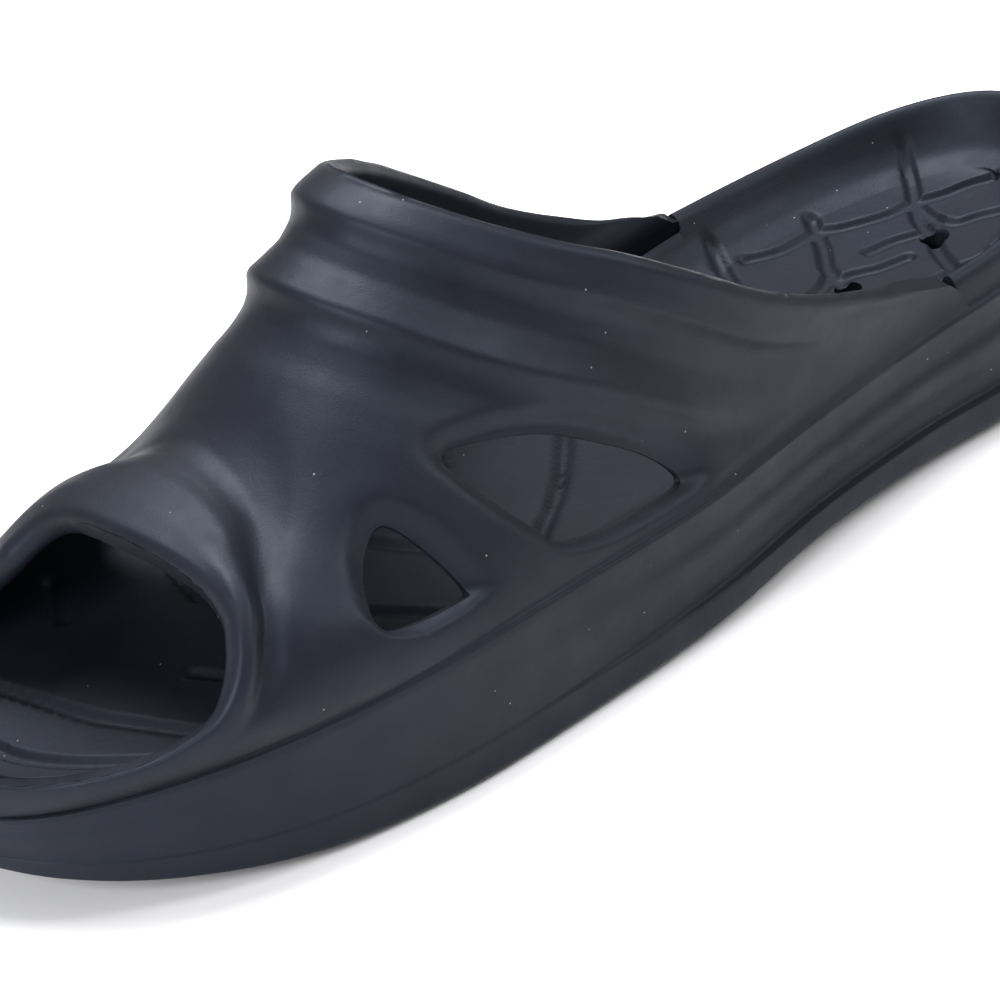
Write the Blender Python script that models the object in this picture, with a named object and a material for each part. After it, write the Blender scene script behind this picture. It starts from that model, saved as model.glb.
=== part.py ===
"""Sport slide sandal, left shoe: a hollow moulded upper on a contoured sole, both of soft foam.

Metres. X runs from the heel to the toe, Y to the wearer's left (the outer side of the foot), Z up.
The shoe stands empty on z = 0. Tables are in millimetres or in shares of the named sizes.
"""
import math

import bmesh
import bpy
import numpy as np

MM = 0.001
LENGTH = 290.0          # over all, heel to toe
BALL_WIDTH = 104.0      # over the widest part of the sole
INSTEP_HEIGHT = 98.0    # floor to the top of the strap
CREASE_HEIGHT = 30.0    # floor to the line where upper meets sole, at the waist
WALL = 4.2              # thickness of the upper
PARTING_GAP = 0.3       # between upper and sole
FOOT_BLEND = 10.0       # height over which the wall's thickness turns from level to square to it, mm
RIM_RISE = 7.0          # heel rim above the crease
MODELLED = (290.0, 104.0, 98.0)     # LENGTH, BALL_WIDTH and INSTEP_HEIGHT that the tables in mm were drawn at

# Outline and side heights from heel (share 0) to toe (share 1).
# lateral, medial: half widths in shares of BALL_WIDTH. crease_lat, crease_med: shares of CREASE_HEIGHT.
# rim: rise of the heel rim in shares of RIM_RISE. under: height of the bottom edge, mm.
OUTLINE_COLUMNS = ("share", "lateral", "medial", "crease_lat", "crease_med", "rim", "under")
OUTLINE = (
    (0.000, 0.000, 0.000, 1.20, 1.20, 1.30, 4.0),
    (0.020, 0.158, 0.152, 1.18, 1.18, 1.28, 3.6),
    (0.070, 0.272, 0.262, 1.12, 1.12, 1.20, 2.2),
    (0.150, 0.336, 0.330, 1.04, 1.05, 1.05, 1.6),
    (0.250, 0.350, 0.350, 0.97, 1.00, 1.05, 2.2),
    (0.360, 0.388, 0.345, 0.92, 0.98, 1.00, 2.2),
    (0.480, 0.458, 0.372, 0.93, 0.98, 1.00, 1.0),
    (0.600, 0.492, 0.450, 0.95, 0.97, 1.00, 0.3),
    (0.720, 0.508, 0.500, 0.94, 0.93, 1.00, 0.3),
    (0.820, 0.474, 0.480, 0.89, 0.87, 1.00, 1.5),
    (0.900, 0.388, 0.400, 0.81, 0.79, 1.00, 4.4),
    (0.960, 0.264, 0.268, 0.72, 0.71, 1.00, 8.0),
    (0.990, 0.135, 0.138, 0.67, 0.67, 1.00, 10.6),
    (1.000, 0.000, 0.000, 0.65, 0.65, 1.00, 11.4),
)

# Rear edge of the strap, from the parting line up to the middle line: x, y, z in mm.
COLLAR_LATERAL = (
    (60.5, 34.6, 29.6), (60.6, 34.6, 34.6), (61.6, 34.7, 36.2), (66.0, 35.4, 37.9), (81.0, 38.1, 43.2),
    (93.4, 40.5, 47.9), (104.4, 42.0, 53.0), (114.0, 42.5, 58.2), (125.2, 42.0, 65.8), (135.9, 40.0, 73.1),
    (146.2, 36.5, 79.6), (155.9, 31.0, 84.8), (164.2, 24.5, 89.6), (171.2, 16.0, 93.9), (175.6, 8.0, 96.6),
    (177.0, -1.0, 97.6),
)
COLLAR_MEDIAL = (
    (75.9, -35.4, 30.0), (76.0, -34.9, 36.0), (77.2, -34.8, 37.4), (81.5, -35.2, 38.4), (91.0, -36.8, 41.2),
    (102.0, -38.2, 46.5),
    (114.0, -38.5, 53.5), (127.0, -37.0, 63.5), (137.0, -34.5, 71.0), (147.0, -30.5, 78.5), (157.0, -25.0, 85.5),
    (166.0, -18.5, 91.0), (173.4, -10.5, 95.4), (177.0, -1.0, 97.6),
)
# Middle line of the whole vamp, as if the toe were closed: x, y, z in mm.
CROWN = (
    (177.0, -1.0, 97.6), (184.0, -1.0, 94.3), (190.8, 0.0, 89.2), (197.6, 1.0, 82.6), (204.4, 1.5, 75.8),
    (211.6, 2.0, 69.4), (219.0, 2.5, 63.6), (227.6, 3.0, 59.0), (236.0, 4.0, 56.9), (245.6, 5.0, 55.8),
    (254.0, 5.0, 53.0), (262.0, 4.5, 48.4), (270.0, 3.5, 42.2), (278.0, 2.0, 35.0), (283.5, 1.0, 29.4),
    (286.3, 0.0, 24.6),
)
# Lines across the vamp: where each starts on the crease, in shares of LENGTH, and where it crosses the middle
# line, in shares of that line.
LINES_COLUMNS = ("line", "crease_lat", "crease_med", "crown")
LINES = (
    (0.00, 0.2085, 0.2620, 0.000),
    (0.55, 0.690, 0.700, 0.609),
    (0.64, 0.728, 0.738, 0.690),
    (0.70, 0.758, 0.768, 0.745),
    (0.76, 0.800, 0.808, 0.800),
    (0.81, 0.845, 0.850, 0.850),
    (0.86, 0.888, 0.890, 0.900),
    (1.00, 1.000, 1.000, 1.000),
)
CROWN_END = 0.543       # the line that meets the toe opening on the middle line
# Edge of the toe opening as places on the vamp (line and climb), against the line that starts on the crease.
EDGE_COLUMNS = ("start", "line", "climb")
EDGE_LATERAL = (
    (0.543, 0.543, 1.000), (0.552, 0.540, 0.930), (0.562, 0.539, 0.860), (0.578, 0.543, 0.770),
    (0.604, 0.562, 0.655), (0.630, 0.590, 0.580), (0.670, 0.640, 0.505), (0.725, 0.710, 0.410),
    (0.780, 0.775, 0.310), (0.832, 0.830, 0.255), (0.880, 0.880, 0.265), (0.930, 0.930, 0.290),
    (0.975, 0.975, 0.500), (1.000, 1.000, 1.000),
)
EDGE_MEDIAL = (
    (0.543, 0.543, 1.000), (0.549, 0.546, 0.955), (0.557, 0.552, 0.913), (0.568, 0.562, 0.870), (0.584, 0.577, 0.832),
    (0.607, 0.600, 0.798), (0.640, 0.633, 0.762), (0.680, 0.674, 0.720), (0.722, 0.718, 0.640), (0.774, 0.772, 0.510),
    (0.830, 0.830, 0.375), (0.885, 0.885, 0.305), (0.930, 0.930, 0.310), (0.975, 0.975, 0.500), (1.000, 1.000, 1.000),
)
BOW = 0.02              # how far the lines bow back to run clear behind the opening's edge
BOW_END = 0.65          # the line by which that has died away
# Fullness of the arch against the line: 1 is an ellipse, less is squarer.
FULLNESS_LATERAL = ((0.0, 0.86), (0.55, 0.86), (1.0, 0.86))
FULLNESS_MEDIAL = (
    (0.0, 0.94), (0.25, 1.10), (0.45, 1.42), (0.58, 1.62), (0.68, 1.70), (0.82, 1.35), (1.0, 1.00),
)
SWEEP = 0.88
ROUND_FROM = 0.55       # angle up the arch from which it rounds over to the middle line
PARTING_INSET = 0.9
# Vents as places on the vamp. hole: the opening right through. rim: the outer edge of the recess round it.
VENT_COLUMNS = ("hole_line", "hole_climb", "rim_line", "rim_climb")
LARGE_VENT = (
    (0.270, 0.100, 0.260, 0.075), (0.235, 0.240, 0.208, 0.265), (0.222, 0.380, 0.190, 0.420),
    (0.228, 0.490, 0.205, 0.540), (0.262, 0.582, 0.250, 0.635), (0.283, 0.583, 0.278, 0.628),
    (0.298, 0.530, 0.298, 0.572), (0.340, 0.300, 0.352, 0.290), (0.360, 0.190, 0.372, 0.165),
    (0.345, 0.125, 0.357, 0.085), (0.310, 0.100, 0.320, 0.062),
)
SMALL_VENT = (
    (0.417, 0.510, 0.413, 0.565), (0.385, 0.548, 0.362, 0.620), (0.378, 0.520, 0.347, 0.590),
    (0.403, 0.385, 0.362, 0.460), (0.443, 0.228, 0.415, 0.250), (0.463, 0.203, 0.448, 0.187),
    (0.515, 0.222, 0.523, 0.173), (0.533, 0.252, 0.546, 0.215), (0.522, 0.305, 0.535, 0.290),
    (0.455, 0.445, 0.460, 0.475),
)
COUNTERSINK = 2.2       # depth of the recess round a vent, mm
# Steps of the strap against distance from its rear edge, and the lip against distance from the opening, mm.
STEPS = (
    (0.0, 0.1), (4.0, 0.6), (7.4, 1.0), (8.1, 1.0), (8.8, 0.7), (9.8, 0.0), (11.2, -0.8), (13.2, -1.3), (16.0, -1.3),
    (19.5, -0.4), (22.6, 0.7), (24.0, 1.15), (24.8, 1.1), (25.6, 0.7), (26.8, -0.1), (28.6, -0.9), (31.0, -1.3),
    (34.0, -1.2), (40.0, -0.5), (50.0, 0.0), (400.0, 0.0),
)
# The hood round the toe opening: its width against how far out to the side it is, and its shape across, mm.
HOOD_WIDTH = ((-40.0, 9.0), (-15.0, 19.0), (4.0, 22.0), (15.0, 20.0), (25.0, 16.0), (32.0, 11.0), (38.0, 7.5), (44.0, 6.0))
HOOD = (
    (0.00, 0.8), (0.15, 1.8), (0.40, 2.8), (0.65, 2.6), (0.85, 1.3), (1.00, -0.2), (1.15, -1.0), (1.40, -1.0),
    (1.90, -0.2), (2.40, 0.0), (400.0, 0.0),
)
STEP_FADE = (0.10, 0.35)        # climbs between which the steps and the hood come in
HOOD_HEIGHTS = (30.0, 44.0)     # heights between which the hood comes in, mm

# Side of the sole: climb (0 bottom edge, 1 crease) against how far it stands out, mm.
FLANK_COLUMNS = ("climb", "out")
FLANK = (
    (0.00, -2.4), (0.03, -0.5), (0.09, 0.5), (0.18, 0.9), (0.265, 0.9), (0.30, -0.9), (0.42, -0.9),
    (0.56, 0.1), (0.66, 0.5), (0.78, -0.5), (0.90, -0.5), (0.97, -0.2), (1.00, -0.9),
)
# Top of the sole's edge, from outside in. rim: rise in shares of RIM_RISE. ledge: rise under the upper, mm.
RIM_COLUMNS = ("inset", "rim", "ledge")
RIM = (
    (1.3, 0.12, 0.0), (1.6, 0.62, 0.0), (2.3, 0.90, 0.0), (3.6, 1.00, 0.0), (4.9, 0.90, 0.0),
    (6.0, 0.66, -0.2), (8.0, 0.22, -1.0), (11.0, -0.14, -2.2), (15.0, -0.34, -2.9),
)
FOOTBED_SAG = 0.8       # how far the middle of the footbed lies under its edges
# Underside: how far in from the outline the pads start and end their rounded edge, mm, and their height
# along the shoe: share of the length, mm.
PAD_INSETS = (15.0, 9.5)
PAD_COLUMNS = ("share", "height")
PAD = (
    (0.00, 3.2), (0.04, 1.2), (0.08, 0.0), (0.24, 0.0), (0.33, 1.2), (0.44, 1.2), (0.53, 0.0), (0.72, 0.0),
    (0.80, 0.7), (0.88, 2.9), (0.96, 7.4), (1.00, 10.4),
)
STRAP_END_LATERAL = 60.0
STRAP_END_MEDIAL = 75.4
STRAP_END_WIDTH = 0.5   # over which the heel rim ends behind the strap

# Tread: bars cut across the pads, as share of the length, lean in degrees and half width in shares of the sole's.
TREAD_COLUMNS = ("share", "lean", "half")
TREAD = (
    (0.095, 0.0, 0.60), (0.145, 4.0, 0.62), (0.195, 8.0, 0.62), (0.540, -6.0, 0.66), (0.590, -9.0, 0.68),
    (0.640, -12.0, 0.70), (0.690, -14.0, 0.70), (0.740, -14.0, 0.68), (0.790, -12.0, 0.64),
)
TREAD_WIDTH = 3.2
TREAD_DEPTH = 1.8

LINE_STOPS = (0.0, CROWN_END, 0.66, 0.85, 1.0)
LINE_STEPS = (18, 9, 7, 6)
CLIMB_STEPS = 13
SOLE_STEPS = (39, 8)


def sized(points):
    """Table points in mm, at the sizes named at the top."""
    return np.array(points, float) * np.array([LENGTH, BALL_WIDTH, INSTEP_HEIGHT]) / np.array(MODELLED)


def curve(rows, at, column=1):
    """Cubic through a table's rows that keeps between them (Fritsch and Carlson slopes)."""
    at = np.asarray(at, float)
    k = np.array([r[0] for r in rows], float)
    v = np.array([r[column] for r in rows], float)
    w = np.diff(k)
    d = np.diff(v) / w
    m = np.zeros(len(v))
    same = d[:-1] * d[1:] > 0
    safe = np.where(d == 0, 1, d)
    a, b = 2 * w[1:] + w[:-1], w[1:] + 2 * w[:-1]
    m[1:-1][same] = ((a + b) / (a / safe[:-1] + b / safe[1:]))[same]
    m[0], m[-1] = d[0], d[-1]
    return hermite(k, v, m, at)


def hermite(k, v, m, at):
    """Cubic pieces from knots, values and slopes."""
    i = np.clip(np.searchsorted(k, at, side="right") - 1, 0, len(k) - 2)
    h = (k[1:] - k[:-1])[i]
    t = np.clip((at - k[i]) / h, 0, 1)
    if v.ndim > 1:
        h, t = h[:, None], t[:, None]
    return ((1 + 2 * t) * (1 - t) ** 2 * v[i] + t * (1 - t) ** 2 * h * m[i]
            + t * t * (3 - 2 * t) * v[i + 1] + t * t * (t - 1) * h * m[i + 1])


def natural(k, v, at):
    """Cubic through knots with slopes from both neighbours, for curves in space."""
    w = np.diff(k)[:, None]
    d = np.diff(v, axis=0) / w
    m = np.empty_like(v)
    m[1:-1] = (d[:-1] * w[1:] + d[1:] * w[:-1]) / (w[1:] + w[:-1])
    m[0], m[-1] = d[0], d[-1]
    return hermite(k, v, m, np.asarray(at, float))


def along(points, at):
    """Points at shares of a space curve's length."""
    p = np.array(points, float)
    k = np.concatenate([[0], np.cumsum(np.linalg.norm(np.diff(p, axis=0), axis=1))])
    return natural(k / k[-1], p, at)


def turn_of(share, side):
    """Angle round the outline of a share of the length: 0 heel, 1 toe, 2 heel again."""
    a = np.arccos(1 - 2 * np.asarray(share, float)) / math.pi
    return a if side > 0 else 2 - a


def round_outline(column_lat, column_med, turn, sign=1.0):
    """A column pair read round the whole outline."""
    share = [r[0] for r in OUTLINE]
    lat = [r[OUTLINE_COLUMNS.index(column_lat)] for r in OUTLINE]
    med = [sign * r[OUTLINE_COLUMNS.index(column_med)] for r in OUTLINE]
    k = np.concatenate([turn_of(share, 1), turn_of(share[-2::-1], -1)])
    v = np.array(lat + med[-2::-1])
    k = np.concatenate([k[-4:-1] - 2, k, k[1:4] + 2])
    v = np.concatenate([v[-4:-1], v, v[1:4]])
    return natural(k, v[:, None], turn)[:, 0]


def outline(turn):
    """Plan points of the sole's outline, mm."""
    turn = np.asarray(turn, float)
    return np.stack([LENGTH * (1 - np.cos(math.pi * turn)) / 2,
                     BALL_WIDTH * round_outline("lateral", "medial", turn, -1.0)], -1)


def inward(turn):
    """Unit plan direction from the outline into the shoe."""
    step = 0.004
    t = outline(np.asarray(turn) + step) - outline(np.asarray(turn) - step)
    n = np.stack([t[:, 1], -t[:, 0]], -1)
    return n / np.linalg.norm(n, axis=1)[:, None]


def crease_height(turn):
    return CREASE_HEIGHT * round_outline("crease_lat", "crease_med", turn)


def ease(t):
    """Smooth step of a value cut to 0..1."""
    t = np.clip(t, 0, 1)
    return t * t * (3 - 2 * t)


def profile(start, end, fullness):
    """One line of the vamp from the crease to the middle line, along the last's arch."""
    t = np.linspace(0, math.pi / 2, 120)
    # a lean side still rounds over at the top
    power = fullness - max(fullness - 1, 0) * ease((t - ROUND_FROM) / (math.pi / 2 - ROUND_FROM))
    across = 1 - np.cos(t) ** power
    climb = np.sin(t) ** fullness
    return np.stack([start[0] + (end[0] - start[0]) * climb ** SWEEP, start[1] + (end[1] - start[1]) * across,
                     start[2] + (end[2] - start[2]) * climb], -1)


def even(points, at):
    """Points at shares of a fine polyline's length."""
    k = np.concatenate([[0], np.cumsum(np.linalg.norm(np.diff(points, axis=0), axis=1))])
    return np.stack([np.interp(at, k / k[-1], points[:, i]) for i in range(3)], -1)


def vamp_half(lines, climbs, side):
    """Fine grid of places on one half of the vamp before its steps, mm."""
    column = LINES_COLUMNS.index("crease_lat" if side > 0 else "crease_med")
    turns = curve([(r[0], float(turn_of(r[column], side))) for r in LINES], lines)
    low = np.concatenate([outline(turns) + PARTING_INSET * inward(turns),
                          (crease_height(turns) + PARTING_GAP)[:, None]], 1)
    top = along(sized(CROWN), curve([(r[0], r[3]) for r in LINES], lines))
    full = curve(FULLNESS_LATERAL if side > 0 else FULLNESS_MEDIAL, lines)
    rows = np.array([even(profile(low[i], top[i], full[i]), climbs) for i in range(len(lines))])
    # the first line is the strap's rear edge, and the ones next to it follow it less and less
    table = COLLAR_LATERAL if side > 0 else COLLAR_MEDIAL
    collar = along(np.concatenate([low[:1], sized(table)[1:]]), climbs)
    fade = np.clip(1 - lines / CROWN_END, 0, 1) ** 2
    return rows + fade[:, None, None] * (collar - rows[0])[None]


def vamp(count, climb_count):
    """The whole vamp, from the lateral crease (climb 0) over the middle (1) to the medial crease (2)."""
    lines = np.linspace(0, 1, count)
    climbs = np.linspace(0, 1, climb_count)
    grid = np.concatenate([vamp_half(lines, climbs, 1), vamp_half(lines, climbs, -1)[:, -2::-1]], 1)
    normals = np.cross(np.gradient(grid, axis=0), np.gradient(grid, axis=1))
    for _ in range(3):
        normals[:, 1:-1] = (normals[:, :-2] + 2 * normals[:, 1:-1] + normals[:, 2:]) / 4
        normals[1:-1] = (normals[:-2] + 2 * normals[1:-1] + normals[2:]) / 4
    normals /= np.linalg.norm(normals, axis=2)[..., None]
    if normals[count // 2, climb_count // 2][1] < 0:
        normals = -normals
    return lines, np.linspace(0, 2, 2 * climb_count - 1), grid, normals


def on_vamp(surface, line, climb):
    """Places and normals of the vamp at lines and climbs."""
    lines, climbs, grid, normals = surface
    u = np.clip(np.asarray(line, float), 0, 1) * (len(lines) - 1)
    v = np.clip(np.asarray(climb, float), 0, 2) / 2 * (len(climbs) - 1)
    i = np.minimum(u.astype(int), len(lines) - 2)
    j = np.minimum(v.astype(int), len(climbs) - 2)
    a, b = (u - i)[..., None], (v - j)[..., None]
    place, n = [g[i, j] * (1 - a) * (1 - b) + g[i + 1, j] * a * (1 - b) + g[i, j + 1] * (1 - a) * b
                + g[i + 1, j + 1] * a * b for g in (grid, normals)]
    return place, n / np.linalg.norm(n, axis=-1)[..., None]


def edge_places(side, start):
    """Line and climb of the toe opening's edge, against the line that starts on the crease."""
    table = np.array(EDGE_LATERAL if side > 0 else EDGE_MEDIAL)
    places = natural(table[:, 0], table[:, 1:], start)
    return places[:, 0], places[:, 1]


def side_places(lines, climbs, side):
    """Line and climb of a grid on one half: up to the middle line, or to the toe opening's edge."""
    line_top, climb_top = edge_places(side, np.maximum(lines, CROWN_END))
    line_top = np.where(lines <= CROWN_END, lines, line_top)
    climb_top = np.where(lines <= CROWN_END, 1.0, climb_top)
    bow = BOW * np.where(lines <= CROWN_END, (lines / CROWN_END) ** 3, ease((BOW_END - lines) / (BOW_END - CROWN_END)))
    line = lines[:, None] + (line_top - lines)[:, None] * climbs[None] ** 1.5
    line = line - 4 * bow[:, None] * (climbs * (1 - climbs))[None]
    climb = climb_top[:, None] * climbs[None]
    return line, climb if side > 0 else 2 - climb


def nearest(points, path):
    """Distance from each point to the nearest point of a path."""
    return np.linalg.norm(points[:, None, :] - path[None, :, :], axis=2).min(axis=1)


def collar_path():
    """Places along the strap's rear edge, both sides."""
    at = np.linspace(0.07, 1, 90)
    return np.concatenate([along(sized(COLLAR_LATERAL), at), along(sized(COLLAR_MEDIAL), at)])


def into_wall(base, normals, columns):
    """Directions through the wall: square to it, but level near its foot, so the lower edge stays flat."""
    foot = np.repeat(base[::columns, 2], columns)
    way = normals.copy()
    way[:, 2] *= ease((base[:, 2] - foot) / FOOT_BLEND)
    return way / np.linalg.norm(way, axis=1)[:, None]


def opening_path(surface):
    """Places round the toe opening's edge."""
    at = np.linspace(CROWN_END, 1, 120)
    paths = []
    for side in (1, -1):
        line, climb = edge_places(side, at)
        paths.append(on_vamp(surface, line, climb if side > 0 else 2 - climb)[0])
    return np.concatenate(paths)


def step_out(points, climb, surface):
    """How far steps and hood stand out of the vamp at each place, mm."""
    fade = ease((climb - STEP_FADE[0]) / (STEP_FADE[1] - STEP_FADE[0]))
    steps = curve(STEPS, nearest(points, collar_path()))
    hood = curve(HOOD, nearest(points, opening_path(surface)) / curve(HOOD_WIDTH, points[:, 1]))
    low = ease((points[:, 2] - HOOD_HEIGHTS[0]) / (HOOD_HEIGHTS[1] - HOOD_HEIGHTS[0]))
    return steps * fade + hood * low


def make(name, verts, faces):
    """One object from points in mm."""
    mesh = bpy.data.meshes.new(name)
    mesh.from_pydata([tuple(v * MM) for v in verts], [], [list(map(int, f)) for f in faces])
    mesh.update()
    obj = bpy.data.objects.new(name, mesh)
    bpy.context.scene.collection.objects.link(obj)
    return obj


def upper_shell(lines, climbs, surface):
    """Closed shell of the upper: outer face, inner face and the strips between them."""
    outer, inner = [], []
    for side in (1, -1):
        line, climb = side_places(lines, climbs, side)
        base, normals = (g.reshape(-1, 3) for g in on_vamp(surface, line, climb))
        out = step_out(base, np.tile(climbs, len(lines)), surface)
        under = base - into_wall(base, normals, len(climbs)) * WALL
        shape = (len(lines), len(climbs), 3)
        halves = slice(None) if side > 0 else slice(-2, None, -1)
        outer.append((base + normals * out[:, None]).reshape(shape)[halves])
        inner.append(under.reshape(shape)[halves])
    outer, inner = np.concatenate(outer), np.concatenate(inner)
    rows, columns = outer.shape[:2]
    count = rows * columns
    top = columns - 1
    last = rows - 1
    # the two halves meet on the middle line and share its points
    same = np.arange(count)
    crown = [i for i in range(len(lines)) if lines[i] <= CROWN_END + 1e-6]
    for i in crown:
        same[(last - i) * columns + top] = i * columns + top
    i, j = np.meshgrid(np.arange(last), np.arange(top), indexing="ij")
    a = (i * columns + j).ravel()
    faces = same[np.stack([a, a + columns, a + columns + 1, a + 1], -1)]
    shell = [tuple(f[::-1]) for f in faces] + [tuple(f + count) for f in faces]
    border = [(i * columns, (i + 1) * columns) for i in range(last)]
    border += [(last * columns + j, last * columns + j + 1) for j in range(top)]
    border += [(j + 1, j) for j in range(top)]
    border += [((i + 1) * columns + top, i * columns + top) for i in range(crown[-1], last - crown[-1])]
    for a, b in same[np.array(border)]:
        shell.append((a, b, b + count, a + count))
    verts = np.concatenate([outer.reshape(-1, 3), inner.reshape(-1, 3)])
    used = sorted({v for f in shell for v in f})
    new = {v: i for i, v in enumerate(used)}
    return verts[used], [[new[v] for v in f] for f in shell]


def vent_cutter(name, rows, side, surface):
    """Closed cutter of one vent: a recess that narrows to a straight hole."""
    loop = np.array(rows, float)
    again = np.concatenate([loop[-2:], loop, loop[:3]])
    loop = natural(np.arange(-2.0, len(loop) + 3), again, np.linspace(0, len(loop), 34, endpoint=False))
    if side < 0:
        loop[:, [1, 3]] = 2 - loop[:, [1, 3]]
    hole, n = on_vamp(surface, loop[:, 0], loop[:, 1])
    rim, _ = on_vamp(surface, loop[:, 2], loop[:, 3])
    straight = n.mean(axis=0) / np.linalg.norm(n.mean(axis=0))
    flare = (rim - hole) * (1 + 2.0 / COUNTERSINK)
    rings = [hole + flare + n * 2.0, hole - n * COUNTERSINK, hole - n * COUNTERSINK - straight * 8.0]
    count = len(hole)
    ends = np.array([rings[0].mean(axis=0) + straight * 3.0, rings[2].mean(axis=0)])
    faces = []
    for i in range(count):
        j = (i + 1) % count
        faces += [[i, j, 3 * count], [2 * count + j, 2 * count + i, 3 * count + 1]]
        faces += [[r * count + j, r * count + i, (r + 1) * count + i, (r + 1) * count + j] for r in range(2)]
    rings.append(ends)
    return make(name, np.concatenate(rings), faces)


def clean(obj):
    """Merge stray points and turn all faces outward."""
    bm = bmesh.new()
    bm.from_mesh(obj.data)
    bmesh.ops.remove_doubles(bm, verts=bm.verts, dist=0.00001)
    bmesh.ops.dissolve_degenerate(bm, edges=bm.edges, dist=0.00001)
    bmesh.ops.recalc_face_normals(bm, faces=bm.faces)
    if bm.calc_volume(signed=True) < 0:
        bmesh.ops.reverse_faces(bm, faces=bm.faces)
    bm.to_mesh(obj.data)
    bm.free()


def cut(obj, cutter):
    """Take a cutter out of an object and remove the cutter."""
    mod = obj.modifiers.new("cut", "BOOLEAN")
    mod.operation = "DIFFERENCE"
    mod.solver = "EXACT"
    mod.object = cutter
    bpy.context.view_layer.update()
    result = bpy.data.meshes.new_from_object(obj.evaluated_get(bpy.context.evaluated_depsgraph_get()))
    obj.modifiers.clear()
    obj.data = result
    bpy.data.objects.remove(cutter, do_unlink=True)


def rim_mask(turn):
    """1 along the heel rim, 0 where the upper sits on the sole."""
    x = outline(turn)[:, 0]
    end = np.where(np.asarray(turn) <= 1, STRAP_END_LATERAL, STRAP_END_MEDIAL) * LENGTH / MODELLED[0]
    return ease((end - x) / STRAP_END_WIDTH)


def sole_stations(count):
    """Turns along the outer side, heel to toe, closer together where the strap ends."""
    even_turns = np.linspace(0, 1, count)
    extra = []
    for end in (STRAP_END_LATERAL, STRAP_END_MEDIAL):
        end = end * LENGTH / MODELLED[0]
        for x in (end - STRAP_END_WIDTH, end):
            extra.append(math.acos(1 - 2 * x / LENGTH) / math.pi)
    keep = [t for t in even_turns if min(abs(t - e) for e in extra) > 0.006]
    return np.array(sorted(keep + extra))


def sole_solid(count, across):
    """Closed body of the sole from loops round its outline, mm."""
    half = sole_stations(count)
    turn = np.concatenate([half, 2 - half[-2:0:-1]])
    plan = outline(turn)
    inn = inward(turn)
    crease = crease_height(turn)
    under = round_outline("under", "under", turn)
    pad = curve(PAD, plan[:, 0] / LENGTH)
    rise = RIM_RISE * round_outline("rim", "rim", turn) * rim_mask(turn)
    share = plan[:, 0] / LENGTH
    strength = 1 - 0.88 * ease((share - 0.40) / 0.28)
    loops = []

    def add(inset, z):
        loops.append(np.concatenate([plan + inn * np.broadcast_to(inset, turn.shape)[:, None], z[:, None]], 1))

    for inset in PAD_INSETS:
        add(inset, pad)
    for climb, out in FLANK:
        bend = out * strength if 0.05 < climb < 0.95 else out
        add(-bend, under + climb * (crease - under))
    slump = np.clip((share - 0.90) / 0.1, 0, 1)
    for inset, rim, ledge in RIM:
        add(inset, crease + rim * rise + ledge * (1 - rim_mask(turn)) * (1 - 0.5 * slump))
    verts = np.concatenate(loops)
    n = len(turn)
    faces = []
    for k in range(len(loops) - 1):
        for i in range(n):
            j = (i + 1) % n
            faces.append((k * n + i, k * n + j, (k + 1) * n + j, (k + 1) * n + i))
    verts = list(verts)
    m = len(half)
    fan = np.linspace(0, 1, across)[1:-1]

    def cap(loop, sag, flip):
        start = loop * n
        rows = []
        for i in range(m):
            a = start + i
            b = start + (n - i) % n
            if i in (0, m - 1):
                rows.append([a])
                continue
            ids = [a]
            pa, pb = verts[a], verts[b]
            for f in fan:
                p = pa + (pb - pa) * f
                p = np.array([p[0], p[1], p[2] - sag * math.sin(math.pi * f)])
                ids.append(len(verts))
                verts.append(p)
            rows.append(ids + [b])
        for i in range(m - 1):
            r, s = rows[i], rows[i + 1]
            if len(r) == 1:
                cells = [(r[0], s[j], s[j + 1]) for j in range(len(s) - 1)]
            elif len(s) == 1:
                cells = [(r[j], s[0], r[j + 1]) for j in range(len(r) - 1)]
            else:
                cells = [(r[j], s[j], s[j + 1], r[j + 1]) for j in range(len(r) - 1)]
            faces.extend([c[::-1] if flip else c for c in cells])

    cap(0, 0.0, True)
    cap(len(loops) - 1, FOOTBED_SAG, False)
    return np.array(verts), faces


def tread_cutter():
    """All grooves of the tread as one mesh of separate bars."""
    verts, faces = [], []
    for share, lean, half in TREAD:
        turn = float(turn_of(share, 1))
        x = share * LENGTH
        left = outline([turn])[0, 1] * half
        right = outline([2 - turn])[0, 1] * half
        top = float(curve(PAD, share)) + TREAD_DEPTH
        slope = math.tan(math.radians(lean))
        start = len(verts)
        for y in (right, left):
            for dx, z in ((-1, -5.0), (1, -5.0), (0.7, top), (-0.7, top)):
                verts.append((x + slope * y + dx * TREAD_WIDTH / 2, y, z))
        box = ((0, 1, 2, 3), (7, 6, 5, 4), (0, 4, 5, 1), (1, 5, 6, 2), (2, 6, 7, 3), (3, 7, 4, 0))
        faces += [[start + i for i in f] for f in box]
    obj = make("tread_cutter", np.array(verts), faces)
    clean(obj)
    return obj


def finish_with(obj, name, colour, roughness):
    """Plain material of one foam, and smooth shading with kept edges."""
    mat = bpy.data.materials.new(name)
    mat.use_nodes = True
    shader = mat.node_tree.nodes["Principled BSDF"]
    shader.inputs["Base Color"].default_value = (*colour, 1.0)
    shader.inputs["Roughness"].default_value = roughness
    obj.data.materials.clear()
    obj.data.materials.append(mat)


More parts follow.
